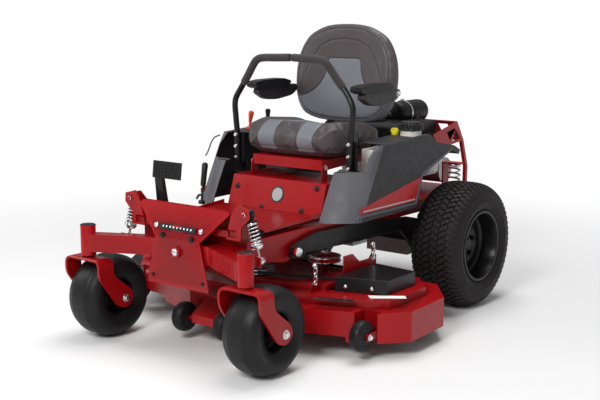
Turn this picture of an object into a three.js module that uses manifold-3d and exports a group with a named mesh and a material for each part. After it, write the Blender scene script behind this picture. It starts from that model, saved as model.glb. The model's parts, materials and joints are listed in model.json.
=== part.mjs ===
// Zero turn mower: an assembly of separate named solids, in millimetres.
// +Z is up, -Y is the front and +X is the operator's left. The source works from a datum on the
// ground midway between the two caster swivels; the exported group then moves the origin to the
// middle of the footprint.
import * as THREE from "three";
import { mergeVertices } from "three/addons/utils/BufferGeometryUtils.js";
import Module from "manifold-3d";

const wasm = await Module();
wasm.setup();

// ---- Driving dimensions ------------------------------------------------------------------

const GAP = 0.3; // air between pieces that touch on the real machine

const SWIVEL_X = 410; // caster swivels, either side of the centre line
const CASTER_TRAIL = 100; // axle behind its swivel
const CASTER_RADIUS = 166.5;
const CASTER_HALF_WIDTH = 81;
const CASTER_AXLE_Z = CASTER_RADIUS;
const FORK_HALF_WIDTH = 100.5;
const FORK_TOP_Z = 340;
const FORK_STOCK = 10;

const DRIVE_Y = 1400; // rear axle behind the swivels
const DRIVE_X = 476;
const DRIVE_RADIUS = 278;
const DRIVE_HALF_WIDTH = 117;
const RIM_RADIUS = 150;

const AXLE_Z = 400; // pivot of the front axle beam
const AXLE_HALF_HEIGHT = 35;
const SHOCK_TOP = { x: 298, z: 569.5 };
const SHOCK_FOOT = { x: 346, z: AXLE_Z };
const SHOCK_Y = 155;

const RAIL_INNER_X = 225;
const RAIL_OUTER_X = 270;
const RAIL_TOP_Z = 456;
const PAN_HALF_WIDTH = 262;
const SHEET = 4; // usual sheet thickness of covers and pans

const ARM_PIVOT = { y: 432, z: 380 }; // front pivot of the rear swing arm
const ARM_INNER_X = 280;
const ARM_OUTER_X = 296;

const SEAT_HINGE = { y: 755, z: 663 };
const SEAT_HALF_WIDTH = 250;
const LEVER_PIVOT = { y: 800, z: 590 }; // fore and aft pivot of the lap bars
const LEVER_SWING = { x: 303, z: 640 }; // outward pivot of the lap bars
const LAP_TUBE_RADIUS = 12.7;

const DECK_BOTTOM_Z = 60;
const DECK_LIP_Z = 178; // flat rim above the skirt
const DECK_SHOULDER_Z = 212; // raised drum over the outer blades
const DECK_TOP_Z = 232; // crown between the belt covers
const DECK_WALL = 5;
const BLADE_RADIUS = 216;
const SPINDLES = {
  left: { x: 466, y: 730 },
  centre: { x: 0, y: 560 },
  right: { x: -466, y: 730 },
};
const BELT_Z = DECK_TOP_Z + 9;
const BELT_HEIGHT = 10;
const PULLEY_CORE = 62;

const CAP_PLACE = { x: 345, y: 1170 }; // fuel filler
const CRANK_Y = 1440; // upright crankshaft of the engine
const REAR_SPRING = { x: 316, y: 1604, foot: 446, top: 600 };

// ---- Materials ---------------------------------------------------------------------------

function finish(color, roughness, metalness) {
  return () => new THREE.MeshStandardMaterial({ color, roughness, metalness });
}
const redPaint = finish(0xb3121d, 0.3, 0.2);
const blackPaint = finish(0x17171a, 0.45, 0.2);
const rubber = finish(0x1b1b1c, 0.9, 0);
const charcoalPlastic = finish(0x3b3b3f, 0.6, 0);
const blackPlastic = finish(0x1d1c20, 0.5, 0);
const zincSteel = finish(0xc3c6ca, 0.3, 0.9);
const castAlloy = finish(0x8d8f93, 0.55, 0.7);
const vinyl = finish(0x303034, 0.65, 0);
const orangePlastic = finish(0xd8421c, 0.45, 0);
const yellowPlastic = finish(0xd9c81e, 0.45, 0);

// ---- Solids ------------------------------------------------------------------------------

// Turns a closed three.js geometry into a manifold solid with its faces outwards.
function toSolid(geometry) {
  const bare = geometry.index ? geometry.toNonIndexed() : geometry.clone();
  bare.deleteAttribute("normal");
  bare.deleteAttribute("uv");
  const merged = mergeVertices(bare, 1e-3);
  const corners = merged.index.array;
  const triangles = [];
  for (let i = 0; i < corners.length; i += 3) {
    const [a, b, c] = corners.slice(i, i + 3);
    if (a !== b && b !== c && c !== a) triangles.push(a, b, c);
  }
  const make = (order) =>
    new wasm.Manifold(
      new wasm.Mesh({
        numProp: 3,
        vertProperties: merged.attributes.position.array,
        triVerts: new Uint32Array(order),
      }),
    );
  const solid = make(triangles);
  return solid.volume() > 0 ? solid : make([...triangles].reverse());
}

function toGeometry(solid) {
  const mesh = solid.getMesh();
  const geometry = new THREE.BufferGeometry();
  geometry.setAttribute("position", new THREE.BufferAttribute(mesh.vertProperties, 3));
  geometry.setIndex(new THREE.BufferAttribute(mesh.triVerts, 1));
  geometry.computeVertexNormals();
  return geometry;
}

const join = (...solids) => solids.reduce((whole, next) => whole.add(next));
const cut = (solid, ...tools) => tools.reduce((left, tool) => left.subtract(tool), solid);

function block(x0, x1, y0, y1, z0, z1) {
  const box = new THREE.BoxGeometry(Math.abs(x1 - x0), y1 - y0, z1 - z0);
  box.translate((x0 + x1) / 2, (y0 + y1) / 2, (z0 + z1) / 2);
  return toSolid(box);
}

const AXES = {
  x: new THREE.Vector3(1, 0, 0),
  y: new THREE.Vector3(0, 1, 0),
  z: new THREE.Vector3(0, 0, 1),
};

// An outline extruded from `from` to `to` along an axis, then sheared if a shear is given.
// Its points are (y, z) for x, (x, z) for y and (x, y) for z.
function slab(axis, points, from, to, shear) {
  const shape = new THREE.Shape(points.map(([a, b]) => new THREE.Vector2(a, b)));
  const low = Math.min(from, to);
  const high = Math.max(from, to);
  const body = new THREE.ExtrudeGeometry(shape, { depth: high - low, bevelEnabled: false });
  const turn = new THREE.Matrix4();
  if (axis === "x") turn.makeBasis(AXES.y, AXES.z, AXES.x).setPosition(low, 0, 0);
  if (axis === "y") {
    turn.makeBasis(AXES.x, AXES.z, AXES.y.clone().negate()).setPosition(0, high, 0);
  }
  if (axis === "z") turn.setPosition(0, 0, low);
  if (shear) turn.premultiply(shear);
  return toSolid(body.applyMatrix4(turn));
}

// The same outline with its corners rounded by arcs of the given radius.
function rounded(points, radius, steps = 3) {
  const out = [];
  points.forEach(([x, y], i) => {
    const here = new THREE.Vector2(x, y);
    const before = new THREE.Vector2(...points.at(i - 1)).sub(here);
    const after = new THREE.Vector2(...points[(i + 1) % points.length]).sub(here);
    const reach = Math.min(radius, before.length() * 0.45, after.length() * 0.45);
    const start = before.setLength(reach).add(here);
    const end = after.setLength(reach).add(here);
    const curve = new THREE.QuadraticBezierCurve(start, here, end);
    curve.getPoints(steps).forEach((p) => out.push([p.x, p.y]));
  });
  return out;
}

// A profile of (radius, place along the axis) turned round an axis through `centre`.
function turned(axis, profile, segments = 20, centre = [0, 0, 0]) {
  const line = profile.map(([radius, along]) => new THREE.Vector2(radius, along));
  if (profile[0][0] > 0) line.push(line[0].clone());
  const body = new THREE.LatheGeometry(line, segments);
  if (axis === "x") body.rotateZ(-Math.PI / 2);
  if (axis === "z") body.rotateX(Math.PI / 2);
  return toSolid(body.translate(...centre));
}

function rod(start, end, radius, segments = 12) {
  const a = new THREE.Vector3(...start);
  const b = new THREE.Vector3(...end);
  const body = new THREE.CylinderGeometry(radius, radius, a.distanceTo(b), segments);
  const turn = new THREE.Quaternion().setFromUnitVectors(AXES.y, b.clone().sub(a).normalize());
  body.applyQuaternion(turn);
  return toSolid(body.translate(...a.add(b).divideScalar(2).toArray()));
}

// A round bar that follows a smooth curve through the points.
function bentBar(points, radius, steps, segments = 10) {
  const path = new THREE.CatmullRomCurve3(
    points.map((p) => new THREE.Vector3(...p)),
    false,
    "centripetal",
  );
  const shape = new THREE.Shape();
  shape.absarc(0, 0, radius, 0, 2 * Math.PI);
  const round = new THREE.Shape(shape.getPoints(segments).slice(0, segments));
  return toSolid(new THREE.ExtrudeGeometry(round, { steps, extrudePath: path }));
}

const mirrored = (points) => points.map(([x, y]) => [-x, y]).reverse();

// An outline given by its left half, from front to rear, closed by its mirror image.
const bothSides = (points) => [...points, ...mirrored(points)];

function mesh(name, solid, material) {
  const piece = new THREE.Mesh(toGeometry(solid), material());
  piece.name = name;
  return piece;
}

// A left piece and its mirror image on the right.
function pair(parent, name, solid, material) {
  const left = mesh(name + "_left", solid, material);
  const right = mesh(name + "_right", solid, material);
  right.scale.x = -1;
  parent.add(left, right);
}

const mower = new THREE.Group();

// ---- Caster wheels and forks -------------------------------------------------------------

const BOLT_RADIUS = 9.5;

function casterFork() {
  const side = FORK_HALF_WIDTH;
  const outer = rounded(
    [[-side, 262], [-side, FORK_TOP_Z], [side, FORK_TOP_Z], [side, 262]].reverse(), 34);
  const inner = rounded(
    [
      [-side + FORK_STOCK, 260],
      [-side + FORK_STOCK, FORK_TOP_Z - FORK_STOCK],
      [side - FORK_STOCK, FORK_TOP_Z - FORK_STOCK],
      [side - FORK_STOCK, 260],
    ].reverse(), 26);
  const bridge = cut(slab("y", outer, -38, 38), slab("y", inner, -40, 40));
  const legOutline = rounded(
    [[-38, 300], [-38, 262], [60, 138], [CASTER_TRAIL + 8, 126], [CASTER_TRAIL + 42, 158],
     [CASTER_TRAIL + 30, 196], [38, 262], [38, 300]], 24, 2);
  const legs = [-1, 1].map((s) =>
    slab("x", legOutline, s * (side - FORK_STOCK), s * side));
  const stem = turned("z", [[0, FORK_TOP_Z - 2], [22, FORK_TOP_Z - 2], [22, 346.5],
    [14, 346.5], [14, 455], [0, 455]], 12);
  const axleBolt = rod([-side - 12, CASTER_TRAIL, CASTER_AXLE_Z],
    [side + 12, CASTER_TRAIL, CASTER_AXLE_Z], BOLT_RADIUS, 12);
  const heads = [-1, 1].map((s) =>
    rod([s * (side - 1), CASTER_TRAIL, CASTER_AXLE_Z],
      [s * (side + 12), CASTER_TRAIL, CASTER_AXLE_Z], 15, 6));
  return join(bridge, ...legs, stem, axleBolt, ...heads);
}

const CASTER_BEAD = 60; // half the width of the rim at the tyre's beads
const CASTER_SIDES = 20;

function casterTyre() {
  const half = [[78.5, CASTER_BEAD], [86, CASTER_BEAD + 6], [122, CASTER_HALF_WIDTH], [152, 66],
    [CASTER_RADIUS, 30]];
  const mirror = half.map(([r, x]) => [r, -x]).reverse();
  return turned("x", [...half, ...mirror], CASTER_SIDES);
}

function casterRim() {
  const half = [[25, 88], [25, 5], [72, 5], [74, CASTER_BEAD + 4], [78, CASTER_BEAD + 4]];
  const mirror = half.map(([r, x]) => [r, -x]).reverse();
  const bore = BOLT_RADIUS + 0.8;
  return turned("x", [[bore, -88], [bore, 88], ...half, ...mirror], CASTER_SIDES);
}

for (const [side, s] of [["left", 1], ["right", -1]]) {
  const caster = new THREE.Group();
  caster.position.set(s * SWIVEL_X, 0, 0);
  caster.add(mesh("caster_fork_" + side, casterFork(), redPaint));
  const wheel = new THREE.Group();
  wheel.position.set(0, CASTER_TRAIL, CASTER_AXLE_Z);
  wheel.add(mesh("caster_tyre_" + side, casterTyre(), rubber));
  wheel.add(mesh("caster_rim_" + side, casterRim(), blackPaint));
  caster.add(wheel);
  mower.add(caster);
}

// ---- Front axle --------------------------------------------------------------------------

const PIVOT_RADIUS = 14;
const SHOCK_BOLT = 7;

function frontAxle() {
  const plan = [[150, 92], [372, -18], [410, -24], [425, 10], [398, 28], [372, 44], [150, 156]];
  const bottom = AXLE_Z - AXLE_HALF_HEIGHT;
  const top = AXLE_Z + AXLE_HALF_HEIGHT;
  const beam = slab("z", bothSides(plan), bottom, top);
  const sides = [-1, 1];
  const tubes = sides.map((s) =>
    turned("z", [[0, 347], [30, 347], [30, 462], [31.5, 462], [31.5, 468], [0, 468]], 16,
      [s * SWIVEL_X, 0, 0]));
  const bores = sides.map((s) =>
    turned("z", [[0, 340], [15.5, 340], [15.5, 459], [0, 459]], 12, [s * SWIVEL_X, 0, 0]));
  const lugs = sides.map((s) =>
    join(
      block(s * (SHOCK_FOOT.x - 9), s * (SHOCK_FOOT.x + 9), 20, 134, AXLE_Z - 14, AXLE_Z + 14),
      block(s * (SHOCK_FOOT.x - 20), s * (SHOCK_FOOT.x + 20), 132, 139, AXLE_Z - 20, AXLE_Z + 20),
      rod([s * SHOCK_FOOT.x, 136, AXLE_Z], [s * SHOCK_FOOT.x, 172, AXLE_Z], SHOCK_BOLT, 10),
      rod([s * SHOCK_FOOT.x, 168, AXLE_Z], [s * SHOCK_FOOT.x, 177, AXLE_Z], 13, 6),
    ));
  const pivotBore = rod([0, 80, AXLE_Z], [0, 180, AXLE_Z], PIVOT_RADIUS + 1.2, 16);
  return cut(join(beam, ...tubes, ...lugs), ...bores, pivotBore);
}
mower.add(mesh("front_axle", frontAxle(), redPaint));

// ---- Coil-over shocks of the front axle --------------------------------------------------

const SHOCK_LENGTH = Math.hypot(SHOCK_FOOT.x - SHOCK_TOP.x, SHOCK_TOP.z - SHOCK_FOOT.z);
const SHOCK_LEAN = Math.atan((SHOCK_FOOT.x - SHOCK_TOP.x) / (SHOCK_TOP.z - SHOCK_FOOT.z));
const SPRING_TOP = 33;
const SPRING_FOOT = 117;

// The shock hangs down from its upper eye, so places along it are below zero.
function shockEye(z, bore) {
  const eye = turned("y", [[bore, -10], [17, -10], [17, 10], [bore, 10]], 12);
  return eye.translate([0, 0, z]);
}

function shockBody() {
  const body = turned("z", [[6.2, -92], [12, -92], [12, -SPRING_TOP], [24, -SPRING_TOP],
    [24, -27], [10, -25], [10, -10], [6.2, -10]], 12);
  return join(cut(body, rod([0, -20, 0], [0, 20, 0], 15, 12)), shockEye(0, SHOCK_BOLT + 0.8));
}

function shockRod() {
  const seat = turned("z", [[0, -131], [20, -131], [25, -SPRING_FOOT], [0, -SPRING_FOOT]], 12);
  const shaft = rod([0, 0, -62], [0, 0, -SHOCK_LENGTH + 14], 5, 8);
  return join(seat, shaft, shockEye(-SHOCK_LENGTH, SHOCK_BOLT + 1.8));
}

function sleeve(inner, outer, low, high) {
  return turned("z", [[inner, low], [outer, low], [outer, high], [inner, high]], 12);
}

for (const [side, s] of [["left", 1], ["right", -1]]) {
  const shock = new THREE.Group();
  shock.position.set(s * SHOCK_TOP.x, SHOCK_Y, SHOCK_TOP.z);
  shock.rotation.y = -s * SHOCK_LEAN;
  const spring = sleeve(17, 23.5, -SPRING_FOOT + GAP, -SPRING_TOP - GAP);
  shock.add(mesh("shock_body_" + side, shockBody(), blackPaint));
  shock.add(mesh("shock_rod_" + side, shockRod(), zincSteel));
  shock.add(mesh("shock_spring_" + side, spring, zincSteel));
  mower.add(shock);
}

// ---- Main frame --------------------------------------------------------------------------

const PLATE_WAIST = { half: 116, y: 78, z: 448 };
const PLATE_TOP = { half: 231, y: 119, z: 575 };
const PLATE_FOOT = { half: 158, z: 264 };
const PLATE_STOCK = 6;

// The front plate is vertical up to its waist and leans back above it.
function frontPlate() {
  const section = [
    [PLATE_WAIST.y, PLATE_FOOT.z],
    [PLATE_WAIST.y, PLATE_WAIST.z],
    [PLATE_TOP.y, PLATE_TOP.z],
    [PLATE_TOP.y + PLATE_STOCK, PLATE_TOP.z - 2],
    [PLATE_WAIST.y + PLATE_STOCK, PLATE_WAIST.z - 2],
    [PLATE_WAIST.y + PLATE_STOCK, PLATE_FOOT.z],
  ].reverse();
  const half = [
    [PLATE_FOOT.half, PLATE_FOOT.z],
    [PLATE_FOOT.half - 6, 300],
    [PLATE_WAIST.half, PLATE_WAIST.z],
    [PLATE_TOP.half, PLATE_TOP.z - 14],
    [PLATE_TOP.half - 12, PLATE_TOP.z],
  ];
  const sheet = slab("x", section, -PLATE_TOP.half, PLATE_TOP.half);
  return sheet.intersect(slab("y", bothSides(half), 60, 140));
}

function bolt(x, y, z, radius, height) {
  return rod([x, y + 4, z], [x, y - height, z], radius, 6);
}

function shockTower(s) {
  const face = [[212, 470], [282, 470], [286, 520], [322, 556], [320, 590], [268, 604],
    [236, 560]].map(([x, z]) => [s * x, z]);
  const window = block(s * 222, s * 262, 110, 140, 480, 508);
  const cheek = slab("x", [[120, 470], [120, 600], [150, 600], [236, 500], [236, 440], [180, 440],
    [180, 470]], s * 262, s * 268);
  const y = SHOCK_Y;
  const pin = rod([s * SHOCK_TOP.x, 110, SHOCK_TOP.z], [s * SHOCK_TOP.x, y + 16, SHOCK_TOP.z],
    SHOCK_BOLT, 10);
  const nut = rod([s * SHOCK_TOP.x, y + 12, SHOCK_TOP.z], [s * SHOCK_TOP.x, y + 20, SHOCK_TOP.z],
    12, 6);
  return join(cut(slab("y", face, 120, 128), window), cheek, pin, nut);
}

// An upright on the rail with a shelf that holds down the top of the rear spring.
function springHanger(s) {
  const { y, top } = REAR_SPRING;
  return join(
    block(s * (RAIL_OUTER_X - 8), s * RAIL_OUTER_X, y - 25, y + 25, RAIL_TOP_Z - 6, top + 8),
    block(s * (RAIL_OUTER_X - 8), s * 348, y - 25, y + 25, top, top + 8),
  );
}

function mainFrame() {
  const railOutline = [[172, 376], [257, 367], [395, 342], [440, 350], [470, 362], [600, 372],
    [680, 400], [1850, 400], [1850, RAIL_TOP_Z], [172, RAIL_TOP_Z]];
  const rails = [-1, 1].map((s) =>
    slab("x", railOutline, s * RAIL_INNER_X, s * RAIL_OUTER_X));
  const pins = [-1, 1].map((s) =>
    join(
      rod([s * (RAIL_OUTER_X - 5), ARM_PIVOT.y, ARM_PIVOT.z],
        [s * (ARM_OUTER_X + 6), ARM_PIVOT.y, ARM_PIVOT.z], 11, 12),
      rod([s * (ARM_OUTER_X + 1), ARM_PIVOT.y, ARM_PIVOT.z],
        [s * (ARM_OUTER_X + 12), ARM_PIVOT.y, ARM_PIVOT.z], 18, 12),
    ));
  const inner = RAIL_INNER_X + 5;
  const frontBolts = [
    [116, 75, 488, 8], [-116, 75, 488, 8], [75, 78, 457, 9], [-75, 78, 457, 9],
    [129, 78, 294, 6], [-129, 78, 294, 6],
  ].map(([x, y, z, r]) => bolt(x, z > PLATE_WAIST.z ? y + (z - PLATE_WAIST.z) * 0.32 : y, z, r, 6));
  return join(
    frontPlate(),
    ...frontBolts,
    rod([0, 66, AXLE_Z], [0, 90, AXLE_Z], 22, 12),
    rod([0, 80, AXLE_Z], [0, 176, AXLE_Z], PIVOT_RADIUS, 14),
    shockTower(1),
    shockTower(-1),
    block(-266, 266, 126, 180, 476, 500),
    block(-30, 30, 82, 150, 476, 500),
    block(-266, 266, 172, 180, 440, 500),
    block(-150, 150, 172, 180, 330, 445),
    ...rails,
    ...pins,
    block(-inner, inner, 172, 196, 380, RAIL_TOP_Z),
    block(-inner, inner, 690, 730, 404, RAIL_TOP_Z),
    block(-inner, inner, 1180, 1220, 404, RAIL_TOP_Z),
    block(-inner, inner, 1810, 1850, 400, RAIL_TOP_Z),
    springHanger(1),
    springHanger(-1),
    cut(block(-inner, inner, 1210, 1820, RAIL_TOP_Z - 8, RAIL_TOP_Z),
      rod([0, CRANK_Y, 440], [0, CRANK_Y, 470], 40, 16)),
  );
}
mower.add(mesh("main_frame", mainFrame(), redPaint));

// ---- Footrest pan and seat box -----------------------------------------------------------

const PAN_TOP_Z = 478;
const PEDAL_X = -200;

function footrestPan() {
  const section = [[127, 577], [290, PAN_TOP_Z], [636, PAN_TOP_Z + 8], [636, PAN_TOP_Z + 4],
    [289, PAN_TOP_Z - SHEET], [127, 572]].reverse();
  const sheet = slab("x", section, -PAN_HALF_WIDTH, PAN_HALF_WIDTH);
  const edge = [[286, PAN_TOP_Z - 3], [286, PAN_TOP_Z + 2], [636, PAN_TOP_Z + 24],
    [636, PAN_TOP_Z + 6]].reverse();
  const lips = [-1, 1].map((s) =>
    slab("x", edge, s * (PAN_HALF_WIDTH - SHEET), s * PAN_HALF_WIDTH));
  const towers = [-1, 1].map((s) =>
    block(s * 205, s * (PAN_HALF_WIDTH + 1), 100, 240, 400, 640));
  const pedalSlot = block(PEDAL_X - 16, PEDAL_X + 40, 150, 262, 440, 620);
  return cut(join(sheet, ...lips), ...towers, pedalSlot);
}
mower.add(mesh("footrest_pan", footrestPan(), redPaint));

function seatBasePanel() {
  const foot = PAN_TOP_Z - 6;
  const sheet = slab("x", [[645, foot], [690, 607], [694, 607], [649, foot]].reverse(), -249, 249);
  const sides = [-1, 1].map((s) =>
    slab("x", [[647, foot], [692, 607], [930, 607], [930, foot]].reverse(), s * 245, s * 249));
  const shelf = block(-249, 249, 690, 930, 603, 607);
  const ears = [-1, 1].map((s) =>
    join(
      slab("x", rounded([[733, 605], [777, 605], [774, 676], [738, 676]], 16), s * 186, s * 191),
      rod([s * 178, SEAT_HINGE.y, SEAT_HINGE.z], [s * 194, SEAT_HINGE.y, SEAT_HINGE.z], 6, 10),
      rod([s * 190, SEAT_HINGE.y, SEAT_HINGE.z], [s * 197, SEAT_HINGE.y, SEAT_HINGE.z], 11, 6),
    ));
  return join(sheet, ...sides, shelf, ...ears);
}
mower.add(mesh("seat_base_panel", seatBasePanel(), redPaint));

// ---- Seat --------------------------------------------------------------------------------

function seatPlate() {
  const top = block(-182, 182, 743, 1130, 690, 694);
  const front = block(-182, 182, 743, 747, 652, 694);
  const sides = [-1, 1].map((s) =>
    cut(slab("x", [[743, 652], [770, 650], [1130, 668], [1130, 694], [743, 694]],
      s * 180, s * 184.5),
      rod([s * 170, SEAT_HINGE.y, SEAT_HINGE.z], [s * 200, SEAT_HINGE.y, SEAT_HINGE.z], 6.6, 12)));
  return join(top, front, ...sides);
}

function seatCushion() {
  const side = rounded([[760, 700], [722, 724], [716, 790], [766, 838], [900, 824], [1112, 806],
    [1112, 696], [800, 696]], 26);
  const front = rounded([[-SEAT_HALF_WIDTH, 690], [SEAT_HALF_WIDTH, 690],
    [SEAT_HALF_WIDTH, 850], [-SEAT_HALF_WIDTH, 850]], 46);
  const plan = [[-SEAT_HALF_WIDTH, 1130], [-SEAT_HALF_WIDTH, 800], [-210, 738], [-150, 700],
    [150, 700], [210, 738], [SEAT_HALF_WIDTH, 800], [SEAT_HALF_WIDTH, 1130]].reverse();
  return slab("x", side, -SEAT_HALF_WIDTH, SEAT_HALF_WIDTH)
    .intersect(slab("y", front, 700, 1130))
    .intersect(slab("z", plan, 690, 860));
}

const BACK_LEAN = THREE.MathUtils.degToRad(4);
const BACK_FOOT = { y: 1124, z: 722 };

// Padding in front of a narrower shell, on two flat struts, drawn upright from the foot.
function seatBackrest() {
  const half = [[60, 88], [150, 96], [224, 122], [264, 190], [276, 290], [262, 390], [212, 478],
    [120, 520], [50, 530]];
  const shellHalf = half.map(([x, z]) => [x * 0.9, 16 + z * 0.95]);
  const struts = [-1, 1].map((s) => block(s * 62, s * 92, 24, 34, 6, 130));
  return join(slab("y", rounded(bothSides(half), 30, 2), 0, 34),
    slab("y", rounded(bothSides(shellHalf), 30, 2), 30, 66), ...struts);
}

function armrest() {
  const pad = slab("x", rounded([[843, 968], [843, 996], [1070, 1002], [1100, 990], [1060, 962],
    [880, 960]], 14, 2), 252, 306);
  const arm = slab("x", rounded([[900, 930], [900, 975], [1060, 990], [1150, 975], [1160, 950],
    [1110, 918], [980, 916]], 12, 2), 282, 300);
  return join(pad, arm);
}

mower.add(mesh("seat_plate", seatPlate(), redPaint));
mower.add(mesh("seat_cushion", seatCushion(), vinyl));
const backrest = mesh("seat_backrest", seatBackrest(), vinyl);
backrest.position.set(0, BACK_FOOT.y, BACK_FOOT.z);
backrest.rotation.x = -BACK_LEAN;
mower.add(backrest);
pair(mower, "armrest", armrest(), blackPlastic);

// ---- Lap bars ----------------------------------------------------------------------------

function lapBarBase() {
  const { y, z } = LEVER_PIVOT;
  const swing = LEVER_SWING;
  return join(
    rod([262, y, z], [346, y, z], 13, 14),
    block(swing.x - 13, swing.x + 13, y + 18, y + 26, z - 8, swing.z + 14),
    block(swing.x - 13, swing.x + 13, y - 4, y + 20, z - 8, z + 10),
    rod([swing.x, y - 2, swing.z], [swing.x, y + 20, swing.z], 6, 10),
  );
}

function lapBar() {
  const { x, z } = LEVER_SWING;
  const y = LEVER_PIVOT.y;
  const tube = bentBar(
    [[x, 777, 650], [x + 2, 777, 770], [316, 776, 900], [300, 777, 942], [272, 778, 982],
      [192, 766, 1084], [168, 765, 1099], [140, 768, 1105], [70, 772, 1107], [7, 775, 1109]],
    LAP_TUBE_RADIUS, 16, 8);
  const plate = block(x - 29, x + 29, 787, 793, z - 2, 778);
  const knuckle = turned("y", [[6.8, 0], [13, 0], [13, 16], [6.8, 16]], 12, [x, y, z]);
  const web = cut(block(x - 12, x + 12, 790, y + 4, z, z + 22),
    rod([x, 780, z], [x, y + 30, z], 9, 12));
  const bolts = [666, 716, 766].map((height) =>
    rod([x, 758, height], [x, 770, height], 8, 6));
  return join(tube, plate, knuckle, web, ...bolts);
}
pair(mower, "lap_bar_base", lapBarBase(), blackPaint);
pair(mower, "lap_bar", lapBar(), blackPaint);

// ---- Fenders -----------------------------------------------------------------------------

const FENDER_OUTER_X = 430;
const FENDER_WALL = 6;
const FENDER_FOOT_Z = 470;
const FENDER_LEAN = 0.508; // the front face leans back by this much per unit of height

// An upright prism sheared backwards so that its front face leans.
function leaningPrism(plan) {
  const shear = new THREE.Matrix4().set(
    1, 0, 0, 0,
    0, 1, FENDER_LEAN, -FENDER_LEAN * FENDER_FOOT_Z,
    0, 0, 1, 0,
    0, 0, 0, 1);
  return slab("z", plan, 430, 800, shear);
}

// A moulded shell: a front face, an outer side and a top, open underneath and to the inside.
function fenderShell() {
  const outerX = FENDER_OUTER_X;
  const innerX = outerX - FENDER_WALL;
  const side = [[570, FENDER_FOOT_Z], [1090, 478], [1106, 500], [1130, 612], [1378, 695],
    [1440, 672], [1452, 690], [1400, 715], [1247, 743], [1187, 783], [818, 765], [704, 663],
    [640, 660]];
  const plan = [[290, 584], [330, 588], [402, 640], [outerX, 680], [outerX, 1460], [300, 1460]];
  const whole = slab("x", side, 290, outerX).intersect(leaningPrism(plan));
  const hollow = slab("x", [[560, 440], [1084, 440], [1100, 500], [1124, 618], [1376, 701],
    [1380, 704], [1244, 738], [1185, 778], [822, 760], [710, 658], [640, 655]], 270, innerX);
  const hollowPlan = [[270, 592], [328, 595], [398, 646], [innerX, 684], [innerX, 1400],
    [270, 1400]];
  return cut(whole, hollow.intersect(leaningPrism(hollowPlan)));
}

function fender() {
  const leverWell = block(280, 400, 600, 880, 666, 800);
  const fillerWell = block(286, 408, 1086, 1238, 705, 820);
  return cut(fenderShell(), leverWell, fillerWell);
}
pair(mower, "fender", fender(), charcoalPlastic);

// ---- Fuel tank ---------------------------------------------------------------------------

function fuelTank() {
  const body = slab("x", [[900, 520], [1068, 520], [1092, 610], [1125, 642], [1285, 696],
    [1285, 712], [1190, 738], [900, 734]], 274, 418);
  const neck = rod([CAP_PLACE.x, CAP_PLACE.y, 725], [CAP_PLACE.x, CAP_PLACE.y, 795], 44, 16);
  const valve = rod([300, 1110, 730], [300, 1110, 776], 9, 10);
  return join(body, neck, valve);
}

function fuelCap() {
  return turned("z", [[0, 795 + GAP], [52, 795 + GAP], [52, 826], [42, 836], [0, 839]], 20,
    [CAP_PLACE.x, CAP_PLACE.y, 0]);
}

function valveKnob() {
  return join(
    rod([300, 1110, 776 + GAP], [300, 1110, 792], 13, 12),
    block(284, 316, 1105, 1115, 786, 806),
  );
}
mower.add(mesh("fuel_tank", fuelTank(), finish(0xd9d9d5, 0.6, 0)));
mower.add(mesh("fuel_cap", fuelCap(), blackPlastic));
mower.add(mesh("fuel_valve_knob", valveKnob(), yellowPlastic));

// ---- Engine ------------------------------------------------------------------------------

const ENGINE_FLOOR = RAIL_TOP_Z + GAP;

function engineBlock() {
  const heads = [-1, 1].map((s) =>
    join(
      block(s * 90, s * 196, 1500, 1640, 540, 660),
      block(s * 190, s * 212, 1510, 1630, 552, 648),
      rod([s * 150, 1620, 560], [s * 150, 1735, 545], 17, 10),
    ));
  return join(
    slab("z", rounded([[-140, 1320], [140, 1320], [140, 1620], [-140, 1620]], 30),
      ENGINE_FLOOR, 690),
    ...heads,
    rod([-190, 1735, 545], [190, 1735, 545], 62, 16),
    rod([0, CRANK_Y, 404], [0, CRANK_Y, 470], 14, 10),
    turned("z", [[0, 404], [60, 404], [60, 409], [52, 416], [60, 423], [60, 428], [0, 428]], 20,
      [0, CRANK_Y, 0]),
  );
}

function engineShroud() {
  const side = rounded([[1270, 692], [1270, 780], [1300, 800], [1612, 800], [1622, 786],
    [1622, 692]].reverse(), 16);
  const blower = turned("z", [[0, 796], [100, 796], [100, 808], [86, 816], [0, 816]], 20,
    [-40, 1385, 0]);
  const hood = slab("x", side, -200, 200);
  return join(cut(hood, block(-192, 192, 1280, 1612, 680, 786)), blower);
}

function airFilter() {
  const canister = turned("y", [[0, 0], [40, 0], [54, 12], [54, 62], [57, 64], [57, 76], [54, 78],
    [54, 216], [46, 228], [0, 228]], 18, [52, 1490, 828]);
  const duct = rod([40, 1520, 812], [-60, 1440, 806], 24, 10);
  return cut(join(canister, duct), block(-220, 220, 1260, 1630, 600, 816 + GAP));
}

// Folded plate round the rear of the engine, with triangular windows in its sides.
function engineGuard() {
  const side = [[1512, 738], [1735, 786], [1800, 690], [1634, 672], [1560, 690]];
  const windows = [
    [[1668, 700], [1700, 752], [1640, 738]],
    [[1690, 694], [1770, 700], [1722, 748]],
  ];
  const wall = (s) =>
    windows.reduce(
      (plate, hole) => cut(plate, slab("x", hole, s * 240, s * 256)),
      slab("x", side, s * 246, s * 250));
  const rear = slab("x", [[1735, 786], [1800, 690], [1795, 686], [1730, 782]].reverse(), -250, 250);
  const rearWindows = [-165, -55, 55, 165].map((x) =>
    slab("z", [[x - 38, 1700], [x + 38, 1700], [x, 1860]], 704, 768));
  const posts = [-1, 1].map((s) =>
    slab("x", [[1786, 700], [1800, 690], [1846, 560], [1846, RAIL_TOP_Z + GAP],
      [1826, RAIL_TOP_Z + GAP], [1826, 556], [1780, 690]].reverse(), s * 234, s * 250));
  return join(wall(1), wall(-1), cut(rear, ...rearWindows), ...posts);
}

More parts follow.
